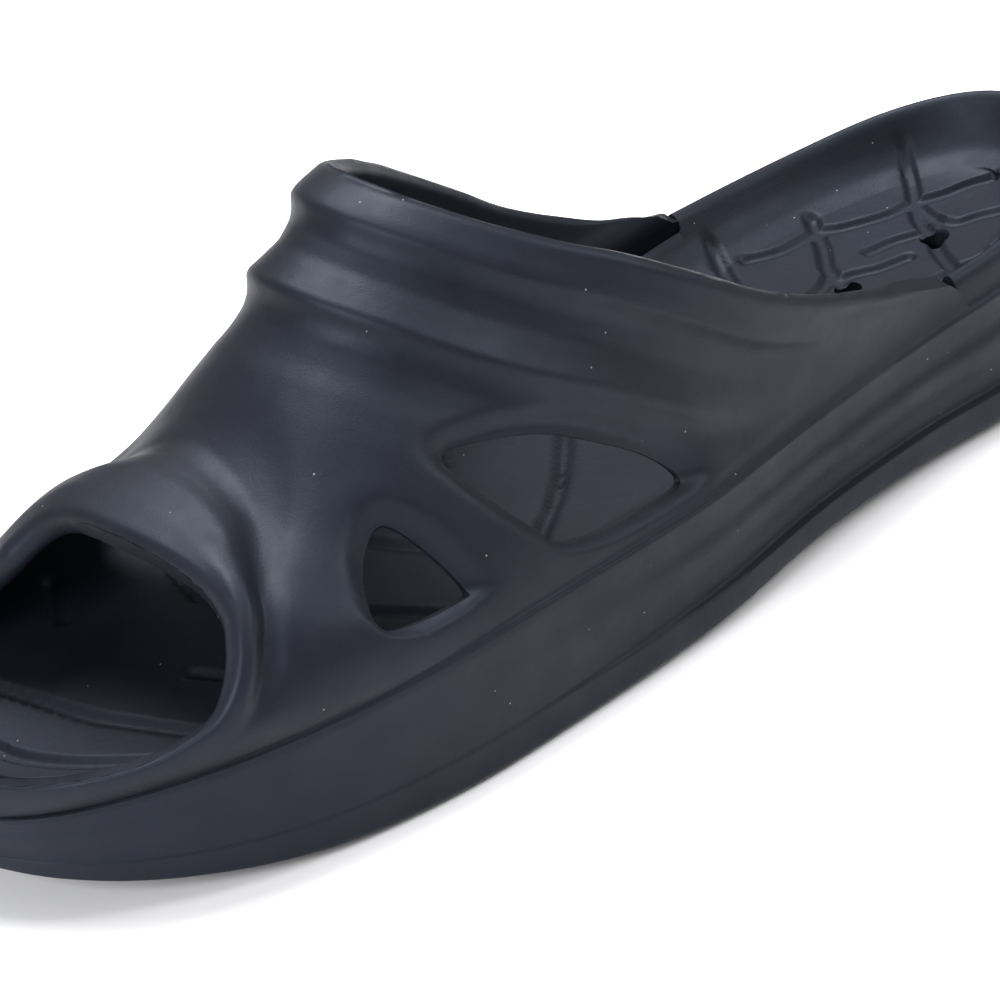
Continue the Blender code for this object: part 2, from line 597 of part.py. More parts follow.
def main():
    for old in list(bpy.data.objects):
        bpy.data.objects.remove(old, do_unlink=True)
    stops = zip(LINE_STOPS, LINE_STOPS[1:], LINE_STEPS)
    lines = np.concatenate([[0.0]] + [np.linspace(a, b, count + 1)[1:] for a, b, count in stops])
    climbs = np.concatenate([[0.0, 0.035, 0.07], np.linspace(0.11, 1, CLIMB_STEPS)])
    surface = vamp(201, 101)
    upper = make("upper", *upper_shell(lines, climbs, surface))
    clean(upper)
    for side in (1, -1):
        for name, rows in (("large_vent", LARGE_VENT), ("small_vent", SMALL_VENT)):
            cutter = vent_cutter(name, rows, side, surface)
            clean(cutter)
            cut(upper, cutter)
    clean(upper)
    sole = make("sole", *sole_solid(*SOLE_STEPS))
    clean(sole)
    cut(sole, tread_cutter())
    clean(sole)
    # the table's heel end is at x = 0, and the record's origin is the middle of the box on the floor
    low = min(v.co.x for v in sole.data.vertices)
    high = max(v.co.x for v in sole.data.vertices)
    for obj in (upper, sole):
        for v in obj.data.vertices:
            v.co.x -= (low + high) / 2
    finish_with(upper, "upper_foam", (0.050, 0.055, 0.068), 0.55)
    finish_with(sole, "sole_foam", (0.045, 0.050, 0.062), 0.58)


main()
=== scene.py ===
"""Sport slide sandal in moulded foam: skin, steps, vents, footbed grooves and studio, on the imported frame."""
import math

import bmesh
import bpy
import numpy as np
from mathutils import Matrix, Vector


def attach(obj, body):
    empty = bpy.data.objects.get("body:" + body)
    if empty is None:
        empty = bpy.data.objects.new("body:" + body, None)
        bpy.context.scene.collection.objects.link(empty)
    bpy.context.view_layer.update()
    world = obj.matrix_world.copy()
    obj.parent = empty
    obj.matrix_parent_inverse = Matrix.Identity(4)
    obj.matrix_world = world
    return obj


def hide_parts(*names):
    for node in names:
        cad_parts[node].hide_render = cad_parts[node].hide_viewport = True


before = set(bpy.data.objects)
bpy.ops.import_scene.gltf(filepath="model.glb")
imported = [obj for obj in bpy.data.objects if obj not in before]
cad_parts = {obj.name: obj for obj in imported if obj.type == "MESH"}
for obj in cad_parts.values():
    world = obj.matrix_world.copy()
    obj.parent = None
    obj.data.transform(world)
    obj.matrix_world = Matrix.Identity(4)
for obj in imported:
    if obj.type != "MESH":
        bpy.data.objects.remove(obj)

bl_info = {
    "name": "Moulded slide sandal",
    "version": (1, 0, 0),
    "blender": (4, 5, 0),
    "location": "3D View > Sidebar > Slide",
    "description": "Dresses a one-piece foam slide: upper, sole, foam skin and a studio",
    "category": "Object",
}

MM = 0.001
HEEL_X = -0.14485       # the frame's X of the tables' zero, at the back of the heel
# Sizes of the slide, mm.
LENGTH = 290.0
BALL_WIDTH = 104.0
CREASE_HEIGHT = 30.0    # floor to the line where the upper meets the sole, at the waist
RIM_RISE = 7.0          # heel rim above that line
WALL = 4.2              # thickness of the upper
THINNEST = 0.9          # what is left of the wall where a recess meets a step
FOOT_BLEND = 10.0       # height over which the wall's thickness turns from level to square
FOOT_BEAD = 0.35        # swelling of the upper's foot over the parting line
BEAD_CLIMB = 0.012      # climb over which the bead dies away
BEAD_END = (14.0, 16.0)  # the bead ends this far from the toe, and fades over this length
PARTING_INSET = 0.9     # from the sole's outline to the upper's foot
PARTING_GAP = -0.1      # the upper's foot is let into the sole
# Rounded edges: the radius, its least share, where it starts to grow in height, and over how much height, mm.
EDGE_ROUND = 1.9
OPENING_ROUND = (0.45, 26.0, 16.0)
COLLAR_ROUND = (0.06, 38.0, 7.0)
# Recess round a vent, mm.
COUNTERSINK = 3.3       # its depth
RECESS_ROOM = 3.0       # width that it needs for its full depth
RECESS_LEAST = 0.2      # share of the depth that the narrowest part keeps
RECESS_SLOPE = 1.15     # 1 is a straight slope, more is fuller by the hole
RECESS_SHOULDER = (0.10, 1.3)   # depth and reach of the soft shoulder outside it
RECESS_MARGIN = 0.03    # line and climb round a recess that are looked at too
RECESS_PASSES = 2       # how often it is smoothed
VENT_CHAMFER, VENT_FLARE = 0.25, 0.8    # how much wider the hole is at the recess, and behind the wall

# The sole's outline. Half widths are shares of BALL_WIDTH, crease heights of CREASE_HEIGHT and the rim of
# RIM_RISE, and under is the height of the side's lower edge in mm.
OUTLINE_COLUMNS = ("share", "lateral", "medial", "crease_lat", "crease_med", "rim", "under")
OUTLINE = (
    (0.000, 0.000, 0.000, 1.20, 1.20, 1.30, 4.0),
    (0.020, 0.158, 0.152, 1.18, 1.18, 1.28, 3.6),
    (0.070, 0.272, 0.262, 1.12, 1.12, 1.20, 2.2),
    (0.150, 0.336, 0.330, 1.04, 1.05, 1.05, 1.6),
    (0.250, 0.350, 0.350, 0.97, 1.00, 1.05, 2.2),
    (0.360, 0.388, 0.345, 0.92, 0.98, 1.00, 2.2),
    (0.480, 0.458, 0.372, 0.93, 0.98, 1.00, 1.0),
    (0.600, 0.492, 0.450, 0.95, 0.97, 1.00, 0.3),
    (0.720, 0.508, 0.500, 0.94, 0.93, 1.00, 0.3),
    (0.820, 0.474, 0.480, 0.89, 0.87, 1.00, 1.5),
    (0.900, 0.388, 0.400, 0.81, 0.79, 1.00, 4.4),
    (0.960, 0.264, 0.268, 0.72, 0.71, 1.00, 8.0),
    (0.990, 0.135, 0.138, 0.67, 0.67, 1.00, 10.6),
    (1.000, 0.000, 0.000, 0.65, 0.65, 1.00, 11.4),
)
# Rear edge of the strap from the parting line to the crown: x, y, z in mm.
COLLAR_LATERAL = (
    (58.5, 34.6, 29.6), (60.2, 34.6, 34.6), (61.6, 34.7, 36.2), (66.0, 35.4, 37.9), (81.0, 38.1, 43.2),
    (93.4, 40.5, 47.9), (104.4, 42.0, 53.0), (114.0, 42.5, 58.2), (125.2, 42.0, 65.8), (135.9, 40.0, 73.1),
    (146.2, 36.5, 79.6), (155.9, 31.0, 84.8), (164.2, 24.5, 89.6), (171.2, 16.0, 93.9), (175.6, 8.0, 96.6),
    (177.0, -1.0, 97.6),
)
COLLAR_MEDIAL = (
    (74.8, -35.4, 30.0), (75.2, -35.0, 37.1), (77.2, -34.8, 37.7), (81.5, -35.2, 38.5), (91.0, -36.8, 41.2),
    (102.0, -38.2, 46.5), (114.0, -38.5, 53.5), (127.0, -37.0, 63.5), (137.0, -34.5, 71.0),
    (147.0, -30.5, 78.5), (157.0, -25.0, 85.5), (166.0, -18.5, 91.0), (173.4, -10.5, 95.4), (177.0, -1.0, 97.6),
)
COLLAR_FROM = 0.07      # share of the rear edge at which the steps' distance from it is first measured
# Middle line of the whole vamp, as if the toe were closed: x, y, z in mm.
CROWN = (
    (177.0, -1.0, 97.6), (184.0, -1.0, 94.3), (190.8, 0.0, 89.2), (197.6, 1.0, 82.6), (204.4, 1.5, 75.8),
    (211.6, 2.0, 69.4), (219.0, 2.5, 63.6), (227.6, 3.0, 59.0), (236.0, 4.0, 56.9), (245.6, 5.0, 55.8),
    (254.0, 5.0, 53.0), (262.0, 4.5, 48.4), (270.0, 3.5, 42.2), (278.0, 2.0, 35.0), (283.5, 1.0, 29.4),
    (286.3, 0.0, 24.6),
)
# Lines across the vamp: where each starts on the crease, in shares of LENGTH, and where it crosses the middle
# line, in shares of that line.
LINES_COLUMNS = ("line", "crease_lat", "crease_med", "crown")
LINES = (
    (0.00, 0.200, 0.256, 0.000),
    (0.55, 0.690, 0.700, 0.609),
    (0.64, 0.728, 0.738, 0.690),
    (0.70, 0.758, 0.768, 0.745),
    (0.76, 0.800, 0.808, 0.800),
    (0.81, 0.845, 0.850, 0.850),
    (0.86, 0.888, 0.890, 0.900),
    (1.00, 1.000, 1.000, 1.000),
)
CROWN_END = 0.543       # the line that meets the toe opening on the middle line
# Edge of the toe opening: the line that starts on the crease, and the line and climb where it meets the edge.
EDGE_LATERAL = (
    (0.543, 0.543, 1.000), (0.552, 0.540, 0.930), (0.562, 0.539, 0.860), (0.578, 0.543, 0.770),
    (0.604, 0.562, 0.655), (0.630, 0.590, 0.580), (0.670, 0.640, 0.505), (0.725, 0.710, 0.410),
    (0.780, 0.775, 0.310), (0.832, 0.830, 0.255), (0.880, 0.880, 0.265), (0.930, 0.930, 0.290),
    (0.975, 0.975, 0.500), (1.000, 1.000, 1.000),
)
EDGE_MEDIAL = (
    (0.543, 0.543, 1.000), (0.549, 0.546, 0.955), (0.557, 0.552, 0.913), (0.568, 0.562, 0.870),
    (0.584, 0.577, 0.832), (0.607, 0.600, 0.798), (0.640, 0.633, 0.762), (0.680, 0.674, 0.720),
    (0.722, 0.718, 0.640), (0.774, 0.772, 0.510), (0.830, 0.830, 0.375), (0.885, 0.885, 0.305),
    (0.930, 0.930, 0.310), (0.975, 0.975, 0.500), (1.000, 1.000, 1.000),
)
BOW = 0.02              # how far the lines bow back to run clear behind the opening's edge
BOW_END = 0.65          # the line by which that has died away
# Fullness of the arch against the line: 1 is an ellipse, less is squarer.
FULLNESS_LATERAL = ((0.0, 0.86), (0.55, 0.86), (1.0, 0.86))
FULLNESS_MEDIAL = (
    (0.0, 0.94), (0.25, 1.10), (0.45, 1.42), (0.58, 1.62), (0.68, 1.70), (0.82, 1.35), (1.0, 1.00),
)
SWEEP = 0.88            # less than 1 lets a line run towards the middle line's place early in its climb
ROUND_FROM = 0.55       # angle up the arch from which it rounds over to the middle line
CROWN_BLEND, CROWN_PASSES = 0.16, 160      # how wide and how often the middle line is smoothed
VAMP_GRID = (601, 241)  # lines and climbs of the vamp's fine grid
# Vents: line and climb of the hole, then line and climb of the recess's rim.
LARGE_VENT = (
    (0.270, 0.100, 0.260, 0.075), (0.235, 0.240, 0.208, 0.265), (0.222, 0.380, 0.190, 0.420),
    (0.228, 0.490, 0.205, 0.540), (0.262, 0.582, 0.250, 0.635), (0.283, 0.583, 0.278, 0.628),
    (0.298, 0.530, 0.298, 0.572), (0.340, 0.300, 0.352, 0.290), (0.360, 0.190, 0.372, 0.165),
    (0.345, 0.125, 0.357, 0.085), (0.310, 0.100, 0.320, 0.062),
)
SMALL_VENT = (
    (0.417, 0.510, 0.413, 0.565), (0.385, 0.548, 0.362, 0.620), (0.378, 0.520, 0.347, 0.590),
    (0.403, 0.385, 0.362, 0.460), (0.443, 0.228, 0.415, 0.250), (0.463, 0.203, 0.448, 0.187),
    (0.515, 0.222, 0.523, 0.173), (0.533, 0.252, 0.546, 0.215), (0.522, 0.305, 0.535, 0.290),
    (0.455, 0.445, 0.460, 0.475),
)
# Steps of the strap: distance from its rear edge, and how far they stand out, mm.
STEPS = (
    (0.0, 0.1), (4.0, 0.6), (7.4, 1.0), (8.1, 1.0), (8.8, 0.7), (9.8, 0.0), (11.2, -0.8), (13.2, -1.3),
    (16.0, -1.3), (19.5, -0.4), (22.6, 0.7), (24.0, 1.15), (24.8, 1.1), (25.6, 0.7), (26.8, -0.1),
    (28.6, -0.9), (31.0, -1.3), (34.0, -1.2), (40.0, -0.5), (50.0, 0.0), (400.0, 0.0),
)
STEP_FADE = (0.10, 0.25)        # climb from which the steps come in, and over how much climb
# The hood round the toe opening: its width in mm against the side to side place in mm, and its shape: distance
# from the opening in shares of that width, and how far it stands out, mm.
HOOD_WIDTH = (
    (-40.0, 9.0), (-15.0, 19.0), (4.0, 22.0), (15.0, 20.0), (25.0, 16.0), (32.0, 11.0), (38.0, 7.5),
    (44.0, 6.0),
)
HOOD_FADE = (30.0, 14.0)        # height from which the hood comes in, and over how much height, mm
HOOD = (
    (0.00, 0.8), (0.15, 1.8), (0.40, 2.8), (0.65, 2.6), (0.85, 1.3), (1.00, -0.2), (1.15, -1.0), (1.40, -1.0),
    (1.90, -0.2), (2.40, 0.0), (400.0, 0.0),
)
# Side of the sole: climb from the bottom edge to the crease, and how far it stands out of the outline, mm.
FLANK = (
    (0.00, -2.4), (0.03, -0.5), (0.09, 0.5), (0.18, 0.9), (0.265, 0.9), (0.30, -0.9), (0.42, -0.9),
    (0.56, 0.1), (0.66, 0.5), (0.78, -0.5), (0.90, -0.5), (0.97, -0.2), (1.00, -0.9),
)
FLANK_FADED = (0.05, 0.95)      # climbs between which it dies away towards the toe
# What is lost of it there, from which share of the length, and over how much of the length.
FLANK_FADE = (0.88, 0.40, 0.28)
# Rows of the mesh up the side: first climb, last climb and count, and the last rows under the crease.
FLANK_ROWS = ((0.0, 0.1, 6), (0.13, 0.25, 4), (0.262, 0.31, 7), (0.33, 0.94, 15))
FLANK_TOP = (0.96, 0.975, 0.988, 1.0)
# Section of the heel rim: inset from the outline in mm, the rim in shares of its rise, and the height of the
# ledge that takes its place under the strap's wall, mm.
RIM = (
    (PARTING_INSET, 0.0, 0.0), (1.3, 0.12, 0.0), (1.6, 0.62, 0.0), (2.3, 0.90, 0.0), (3.6, 1.00, 0.0),
    (4.9, 0.90, 0.0), (6.0, 0.66, -0.2), (8.0, 0.22, -1.0), (11.0, -0.14, -2.2), (15.0, -0.34, -2.9),
)
RIM_ROWS = ((1.05, 1.6, 4), (1.9, 6.0, 11), (6.7, 15.0, 13))        # first inset, last inset and count
# Height of the sole's underside along the shoe: share of the length, mm.
PAD = (
    (0.00, 3.2), (0.04, 1.2), (0.08, 0.0), (0.24, 0.0), (0.33, 1.2), (0.44, 1.2), (0.53, 0.0), (0.72, 0.0),
    (0.80, 0.7), (0.88, 2.9), (0.96, 7.4), (1.00, 10.4),
)
PAD_INSETS = (15.0, 9.5)        # from the outline to the tread's grid and to the pad's edge, mm
# The heel rim ends behind the strap, over RIM_END. Inside the shoe its slope ends later and over more, mm.
STRAP_END_LATERAL = 61.0
STRAP_END_MEDIAL = 75.4
RIM_END = 0.7
DISH_END, DISH_REACH = 60.0, 55.0
DISH_FROM = (5.2, 1.0)          # inset from which the slope is the later one, and over how much, mm
TOE_LEDGE = (0.90, 0.1, 0.5)    # share of the length from which the ledge flattens, over and by how much
# Tread bars: share of the length, lean in degrees, half width in shares of the sole's.
TREAD = (
    (0.095, 0.0, 0.60), (0.145, 4.0, 0.62), (0.195, 8.0, 0.62), (0.540, -6.0, 0.66), (0.590, -9.0, 0.68),
    (0.640, -12.0, 0.70), (0.690, -14.0, 0.70), (0.740, -14.0, 0.68), (0.790, -12.0, 0.64),
)
TREAD_DEPTH, TREAD_HALF = 1.8, 1.2      # depth and half width of the floor, mm
TREAD_SLOPE, TREAD_END = 0.8, 1.5       # slopes of the sides and of the ends, mm
TREAD_EDGE = 14.0       # how soon the bars come in from the tread's border
# Moulded grooves of the footbed, each a bent stroke in plan, mm.
FOOTBED_STROKES = (
    ((22, -19.5), (23.5, -17), (27, -12), (31, -7.5), (36, -0.5), (38.5, 5.5), (41.5, 9.5), (45, 16.5)),
    ((31, -8), (25.5, -4.5), (20, -2), (16.5, 0.5)), ((31.5, -6), (33, 1), (32, 5.5), (28, 8), (24, 12)),
    ((31, -8), (36, -8.5), (42, -11), (47.5, -14), (50.5, -16.5), (53, -16.5), (60, -17), (67, -20)),
    ((48, -20.5), (50.5, -16.5), (54, -11), (59.5, -3.5), (61, 0.5), (62.5, 5), (66, 12), (68, 20)),
    ((49.5, -2), (43.5, -0.5), (38.5, 2)), ((61, 0.5), (58, 1.5), (53, 4.5), (47, 6.5)),
    ((67, 0.5), (63.5, -0.5), (59.5, -3)), ((70, -27), (72, -22.5), (76, -14), (80, -6), (80, 8)),
    ((30, 20), (40, 21), (46, 19), (56, 19)), ((14, 14), (20, 15), (27, 22)),
    ((90, -28), (97, -15), (100, -2)), ((80, 8), (92, 4), (100, -2)), ((88, 24), (98, 16), (110, 18)),
    ((116, -28), (123, -16), (128, -6), (136, 2), (144.5, 11), (153, 19), (161, 25), (168, 31)),
    ((146, -30), (156, -17), (162, -4)), ((171, 38), (163, 41), (153, 44)),
    ((162, -4), (174, -8), (186, -6)), ((187, 1), (183, 9), (177, 20)), ((178, -32), (188, -20), (194, -6)),
    ((204, 20), (198, 29), (191, 40)), ((206, -36), (214, -22), (218, -8)),
    ((234, 11), (231, 18)), ((232, -36), (238, -24)),
    ((259, -22), (257, -14), (255, -5), (253, 5), (250, 14), (245, 28)),
    ((269, -8), (268, 2), (264, 13), (258, 23), (253, 30)), ((276, -2), (274, 8), (268, 18), (262, 25)),
)
GROOVE_DEPTH, GROOVE_HALF, GROOVE_SLOPE = 1.2, 0.8, 1.2     # depth, half width of the floor, slope, mm
GROOVE_REACH = 3.0      # how far from its stroke a groove is looked for, mm
FOOTBED_SAG = 0.8       # how far the middle of the footbed lies under its edges, mm
GROOVED_LOOPS = 12      # loops of the band, inside the rim, that the grooves run over
# Sections and rows across of the sole, and how closely its sections follow each other: finest where the
# footbed is seen.
SOLE_GRID = (352, 98)
TURN_PACE = ((0.0, 1.6), (84.0, 1.6), (104.0, 0.7), (130.0, 0.8), (200.0, 0.8), (215.0, 1.1), (290.0, 1.1))
STRAP_END_STEPS = (-0.7, -0.5, -0.35, -0.2, 0.0)    # extra sections at a strap's end, mm from it
CLOSEST_TURN = 0.0016   # turn that other sections keep from them
# Drain pockets: places in plan, height of the mouth, and radius and height of each ring, mm.
DRAIN_HOLES = ((38.5, 5.5), (62.5, 5.0))
DRAIN_HEIGHT = 29.2
DRAIN_RINGS = ((4.4, 2.6), (3.6, 0.2), (3.1, -0.4), (2.9, -1.0), (2.7, -6.0))
DRAIN_ENDS = (4.0, 6.5)     # above and below the mouth


def curve(rows, at, column=1):
    """Cubic through a table's rows that keeps between them (Fritsch and Carlson slopes)."""
    at = np.asarray(at, float)
    k = np.array([r[0] for r in rows], float)
    v = np.array([r[column] for r in rows], float)
    w = np.diff(k)
    d = np.diff(v) / w
    m = np.zeros(len(v))
    same = d[:-1] * d[1:] > 0
    safe = np.where(d == 0, 1, d)
    a, b = 2 * w[1:] + w[:-1], w[1:] + 2 * w[:-1]
    m[1:-1][same] = ((a + b) / (a / safe[:-1] + b / safe[1:]))[same]
    m[0], m[-1] = d[0], d[-1]
    return hermite(k, v, m, at)


def hermite(k, v, m, at):
    """Cubic pieces from knots, values and slopes."""
    i = np.clip(np.searchsorted(k, at, side="right") - 1, 0, len(k) - 2)
    h = (k[1:] - k[:-1])[i]
    t = np.clip((at - k[i]) / h, 0, 1)
    if v.ndim > 1:
        h, t = h[:, None], t[:, None]
    return ((1 + 2 * t) * (1 - t) ** 2 * v[i] + t * (1 - t) ** 2 * h * m[i]
            + t * t * (3 - 2 * t) * v[i + 1] + t * t * (t - 1) * h * m[i + 1])


def natural(k, v, at):
    """Cubic through knots with slopes from both neighbours, for curves in space."""
    w = np.diff(k)[:, None]
    d = np.diff(v, axis=0) / w
    m = np.empty_like(v)
    m[1:-1] = (d[:-1] * w[1:] + d[1:] * w[:-1]) / (w[1:] + w[:-1])
    m[0], m[-1] = d[0], d[-1]
    return hermite(k, v, m, np.asarray(at, float))


def along(points, at):
    """Points at shares of a space curve's length."""
    p = np.array(points, float)
    k = np.concatenate([[0], np.cumsum(np.linalg.norm(np.diff(p, axis=0), axis=1))])
    return natural(k / k[-1], p, at)


def turn_of(share, side):
    """Angle round the outline of a share of the length: 0 heel, 1 toe, 2 heel again."""
    a = np.arccos(1 - 2 * np.asarray(share, float)) / math.pi
    return a if side > 0 else 2 - a


def round_outline(column_lat, column_med, turn, sign=1.0):
    """A column pair read round the whole outline."""
    share = [r[0] for r in OUTLINE]
    lat = [r[OUTLINE_COLUMNS.index(column_lat)] for r in OUTLINE]
    med = [sign * r[OUTLINE_COLUMNS.index(column_med)] for r in OUTLINE]
    k = np.concatenate([turn_of(share, 1), turn_of(share[-2::-1], -1)])
    v = np.array(lat + med[-2::-1])
    k = np.concatenate([k[-4:-1] - 2, k, k[1:4] + 2])
    v = np.concatenate([v[-4:-1], v, v[1:4]])
    return natural(k, v[:, None], turn)[:, 0]


def outline(turn):
    """Plan points of the sole's outline, mm."""
    turn = np.asarray(turn, float)
    return np.stack([LENGTH * (1 - np.cos(math.pi * turn)) / 2,
                     BALL_WIDTH * round_outline("lateral", "medial", turn, -1.0)], -1)


def inward(turn):
    """Unit plan direction from the outline into the shoe."""
    step = 0.004
    t = outline(np.asarray(turn) + step) - outline(np.asarray(turn) - step)
    n = np.stack([t[:, 1], -t[:, 0]], -1)
    return n / np.linalg.norm(n, axis=1)[:, None]


def crease_height(turn):
    return CREASE_HEIGHT * round_outline("crease_lat", "crease_med", turn)


def ease(t):
    """Smooth step of a value cut to 0..1."""
    t = np.clip(t, 0, 1)
    return t * t * (3 - 2 * t)


def profile(start, end, fullness):
    """One line of the vamp from the crease to the middle line, along the last's arch."""
    t = np.linspace(0, math.pi / 2, 120)
    # a lean side still rounds over at the top
    power = fullness - max(fullness - 1, 0) * ease((t - ROUND_FROM) / (math.pi / 2 - ROUND_FROM))
    across = 1 - np.cos(t) ** power
    climb = np.sin(t) ** fullness
    return np.stack([start[0] + (end[0] - start[0]) * climb ** SWEEP, start[1] + (end[1] - start[1]) * across,
                     start[2] + (end[2] - start[2]) * climb], -1)


def even(points, at):
    """Points at shares of a fine polyline's length."""
    k = np.concatenate([[0], np.cumsum(np.linalg.norm(np.diff(points, axis=0), axis=1))])
    return np.stack([np.interp(at, k / k[-1], points[:, i]) for i in range(3)], -1)


def vamp_half(lines, climbs, side):
    """Fine grid of places on one half of the vamp before its steps, mm."""
    column = LINES_COLUMNS.index("crease_lat" if side > 0 else "crease_med")
    turns = curve([(r[0], float(turn_of(r[column], side))) for r in LINES], lines)
    low = np.concatenate([outline(turns) + PARTING_INSET * inward(turns),
                          (crease_height(turns) + PARTING_GAP)[:, None]], 1)
    top = along(CROWN, curve([(r[0], r[3]) for r in LINES], lines))
    full = curve(FULLNESS_LATERAL if side > 0 else FULLNESS_MEDIAL, lines)
    rows = np.array([even(profile(low[i], top[i], full[i]), climbs) for i in range(len(lines))])
    # the first line is the strap's rear edge, and the ones next to it follow it less and less
    table = COLLAR_LATERAL if side > 0 else COLLAR_MEDIAL
    collar = along([tuple(low[0])] + list(table[1:]), climbs)
    fade = np.clip(1 - lines / CROWN_END, 0, 1) ** 2
    return rows + fade[:, None, None] * (collar - rows[0])[None]


def vamp(count, climb_count):
    """The whole vamp, from the lateral crease (climb 0) over the middle (1) to the medial crease (2)."""
    lines = np.linspace(0, 1, count)
    climbs = np.linspace(0, 1, climb_count)
    grid = np.concatenate([vamp_half(lines, climbs, 1), vamp_half(lines, climbs, -1)[:, -2::-1]], 1)
    # the two halves meet on the middle line without a fold
    near = slice(climb_count // 2, 3 * climb_count // 2)
    weight = np.exp(-(np.linspace(-0.5, 0.5, climb_count)[1:-1] / CROWN_BLEND) ** 2)[None, :, None]
    for _ in range(CROWN_PASSES):
        strip = grid[:, near]
        strip[:, 1:-1] += weight * ((strip[:, :-2] + strip[:, 2:]) / 2 - strip[:, 1:-1]) / 2
    normals = np.cross(np.gradient(grid, axis=0), np.gradient(grid, axis=1))
    for _ in range(3):
        normals[:, 1:-1] = (normals[:, :-2] + 2 * normals[:, 1:-1] + normals[:, 2:]) / 4
        normals[1:-1] = (normals[:-2] + 2 * normals[1:-1] + normals[2:]) / 4
    normals /= np.linalg.norm(normals, axis=2)[..., None]
    if normals[count // 2, climb_count // 2][1] < 0:
        normals = -normals
    return lines, np.linspace(0, 2, 2 * climb_count - 1), grid, normals


def on_vamp(surface, line, climb):
    """Places and normals of the vamp at lines and climbs."""
    lines, climbs, grid, normals = surface
    u = np.clip(np.asarray(line, float), 0, 1) * (len(lines) - 1)
    v = np.clip(np.asarray(climb, float), 0, 2) / 2 * (len(climbs) - 1)
    i = np.minimum(u.astype(int), len(lines) - 2)
    j = np.minimum(v.astype(int), len(climbs) - 2)
    a, b = (u - i)[..., None], (v - j)[..., None]
    place, n = [g[i, j] * (1 - a) * (1 - b) + g[i + 1, j] * a * (1 - b) + g[i, j + 1] * (1 - a) * b
                + g[i + 1, j + 1] * a * b for g in (grid, normals)]
    return place, n / np.linalg.norm(n, axis=-1)[..., None]


def edge_places(side, start):
    """Line and climb of the toe opening's edge, against the line that starts on the crease."""
    table = np.array(EDGE_LATERAL if side > 0 else EDGE_MEDIAL)
    places = natural(table[:, 0], table[:, 1:], start)
    return places[:, 0], places[:, 1]


def side_places(lines, climbs, side):
    """Line and climb of a grid on one half: up to the middle line, or to the toe opening's edge."""
    line_top, climb_top = edge_places(side, np.maximum(lines, CROWN_END))
    line_top = np.where(lines <= CROWN_END, lines, line_top)
    climb_top = np.where(lines <= CROWN_END, 1.0, climb_top)
    dying = ease((BOW_END - lines) / (BOW_END - CROWN_END))
    bow = BOW * np.where(lines <= CROWN_END, (lines / CROWN_END) ** 3, dying)
    line = lines[:, None] + (line_top - lines)[:, None] * climbs[None] ** 1.5
    line = line - 4 * bow[:, None] * (climbs * (1 - climbs))[None]
    climb = climb_top[:, None] * climbs[None]
    return line, climb if side > 0 else 2 - climb


def nearest(points, path):
    """Distance from each point to the nearest point of a path, in slices to spare memory."""
    out = np.empty(len(points))
    for a in range(0, len(points), 4000):
        out[a:a + 4000] = np.sqrt(((points[a:a + 4000, None] - path[None]) ** 2).sum(2).min(1))
    return out


def collar_path():
    """Places along the strap's rear edge, both sides."""
    at = np.linspace(COLLAR_FROM, 1, 400)
    return np.concatenate([along(COLLAR_LATERAL, at), along(COLLAR_MEDIAL, at)])


def into_wall(base, normals, columns):
    """Directions through the wall: square to it, but level near its foot."""
    foot = np.repeat(base[::columns, 2], columns)
    way = normals.copy()
    way[:, 2] *= ease((base[:, 2] - foot) / FOOT_BLEND)
    return way / np.linalg.norm(way, axis=1)[:, None]


def opening_path(surface):
    """Places round the toe opening's edge."""
    at = np.linspace(CROWN_END, 1, 500)
    paths = []
    for side in (1, -1):
        line, climb = edge_places(side, at)
        paths.append(on_vamp(surface, line, climb if side > 0 else 2 - climb)[0])
    return np.concatenate(paths)


def sheet(bm, places):
    """A bmesh grid laid on a table of places in mm. Returns its vertices by row and column."""
    rows, columns = places.shape[:2]
    made = bmesh.ops.create_grid(bm, x_segments=rows - 1, y_segments=columns - 1, size=1.0)["verts"]
    grid = [[None] * columns for _ in range(rows)]
    for v in made:
        i = round((v.co.x + 1) / 2 * (rows - 1))
        j = round((v.co.y + 1) / 2 * (columns - 1))
        grid[i][j] = v
        x, y, z = places[i, j]
        v.co = (x * MM + HEEL_X, y * MM, z * MM)
    return grid


def close_up(bm, distance=2e-6):
    """Weld seams and turn every face outward."""
    bmesh.ops.remove_doubles(bm, verts=bm.verts, dist=distance)
    bmesh.ops.recalc_face_normals(bm, faces=bm.faces)
    if bm.calc_volume(signed=True) < 0:
        bmesh.ops.reverse_faces(bm, faces=bm.faces)


def piece(name, bm, sharp=40.0):
    """An object from a bmesh, smooth but for edges sharper than the angle."""
    mesh = bpy.data.meshes.new(name)
    bm.to_mesh(mesh)
    bm.free()
    mesh.polygons.foreach_set("use_smooth", [True] * len(mesh.polygons))
    mesh.set_sharp_from_angle(angle=math.radians(sharp))
    obj = bpy.data.objects.new(name, mesh)
    bpy.context.scene.collection.objects.link(obj)
    return obj


def cut(obj, cutter, sharp=40.0):
    """Take a cutter out of a piece for good."""
    mod = obj.modifiers.new("cut", "BOOLEAN")
    mod.operation, mod.solver, mod.object = "DIFFERENCE", "EXACT", cutter
    bpy.context.view_layer.update()
    result = bpy.data.meshes.new_from_object(obj.evaluated_get(bpy.context.evaluated_depsgraph_get()))
    obj.modifiers.clear()
    obj.data = result
    result.polygons.foreach_set("use_smooth", [True] * len(result.polygons))
    result.set_sharp_from_angle(angle=math.radians(sharp))
    bpy.data.objects.remove(cutter, do_unlink=True)


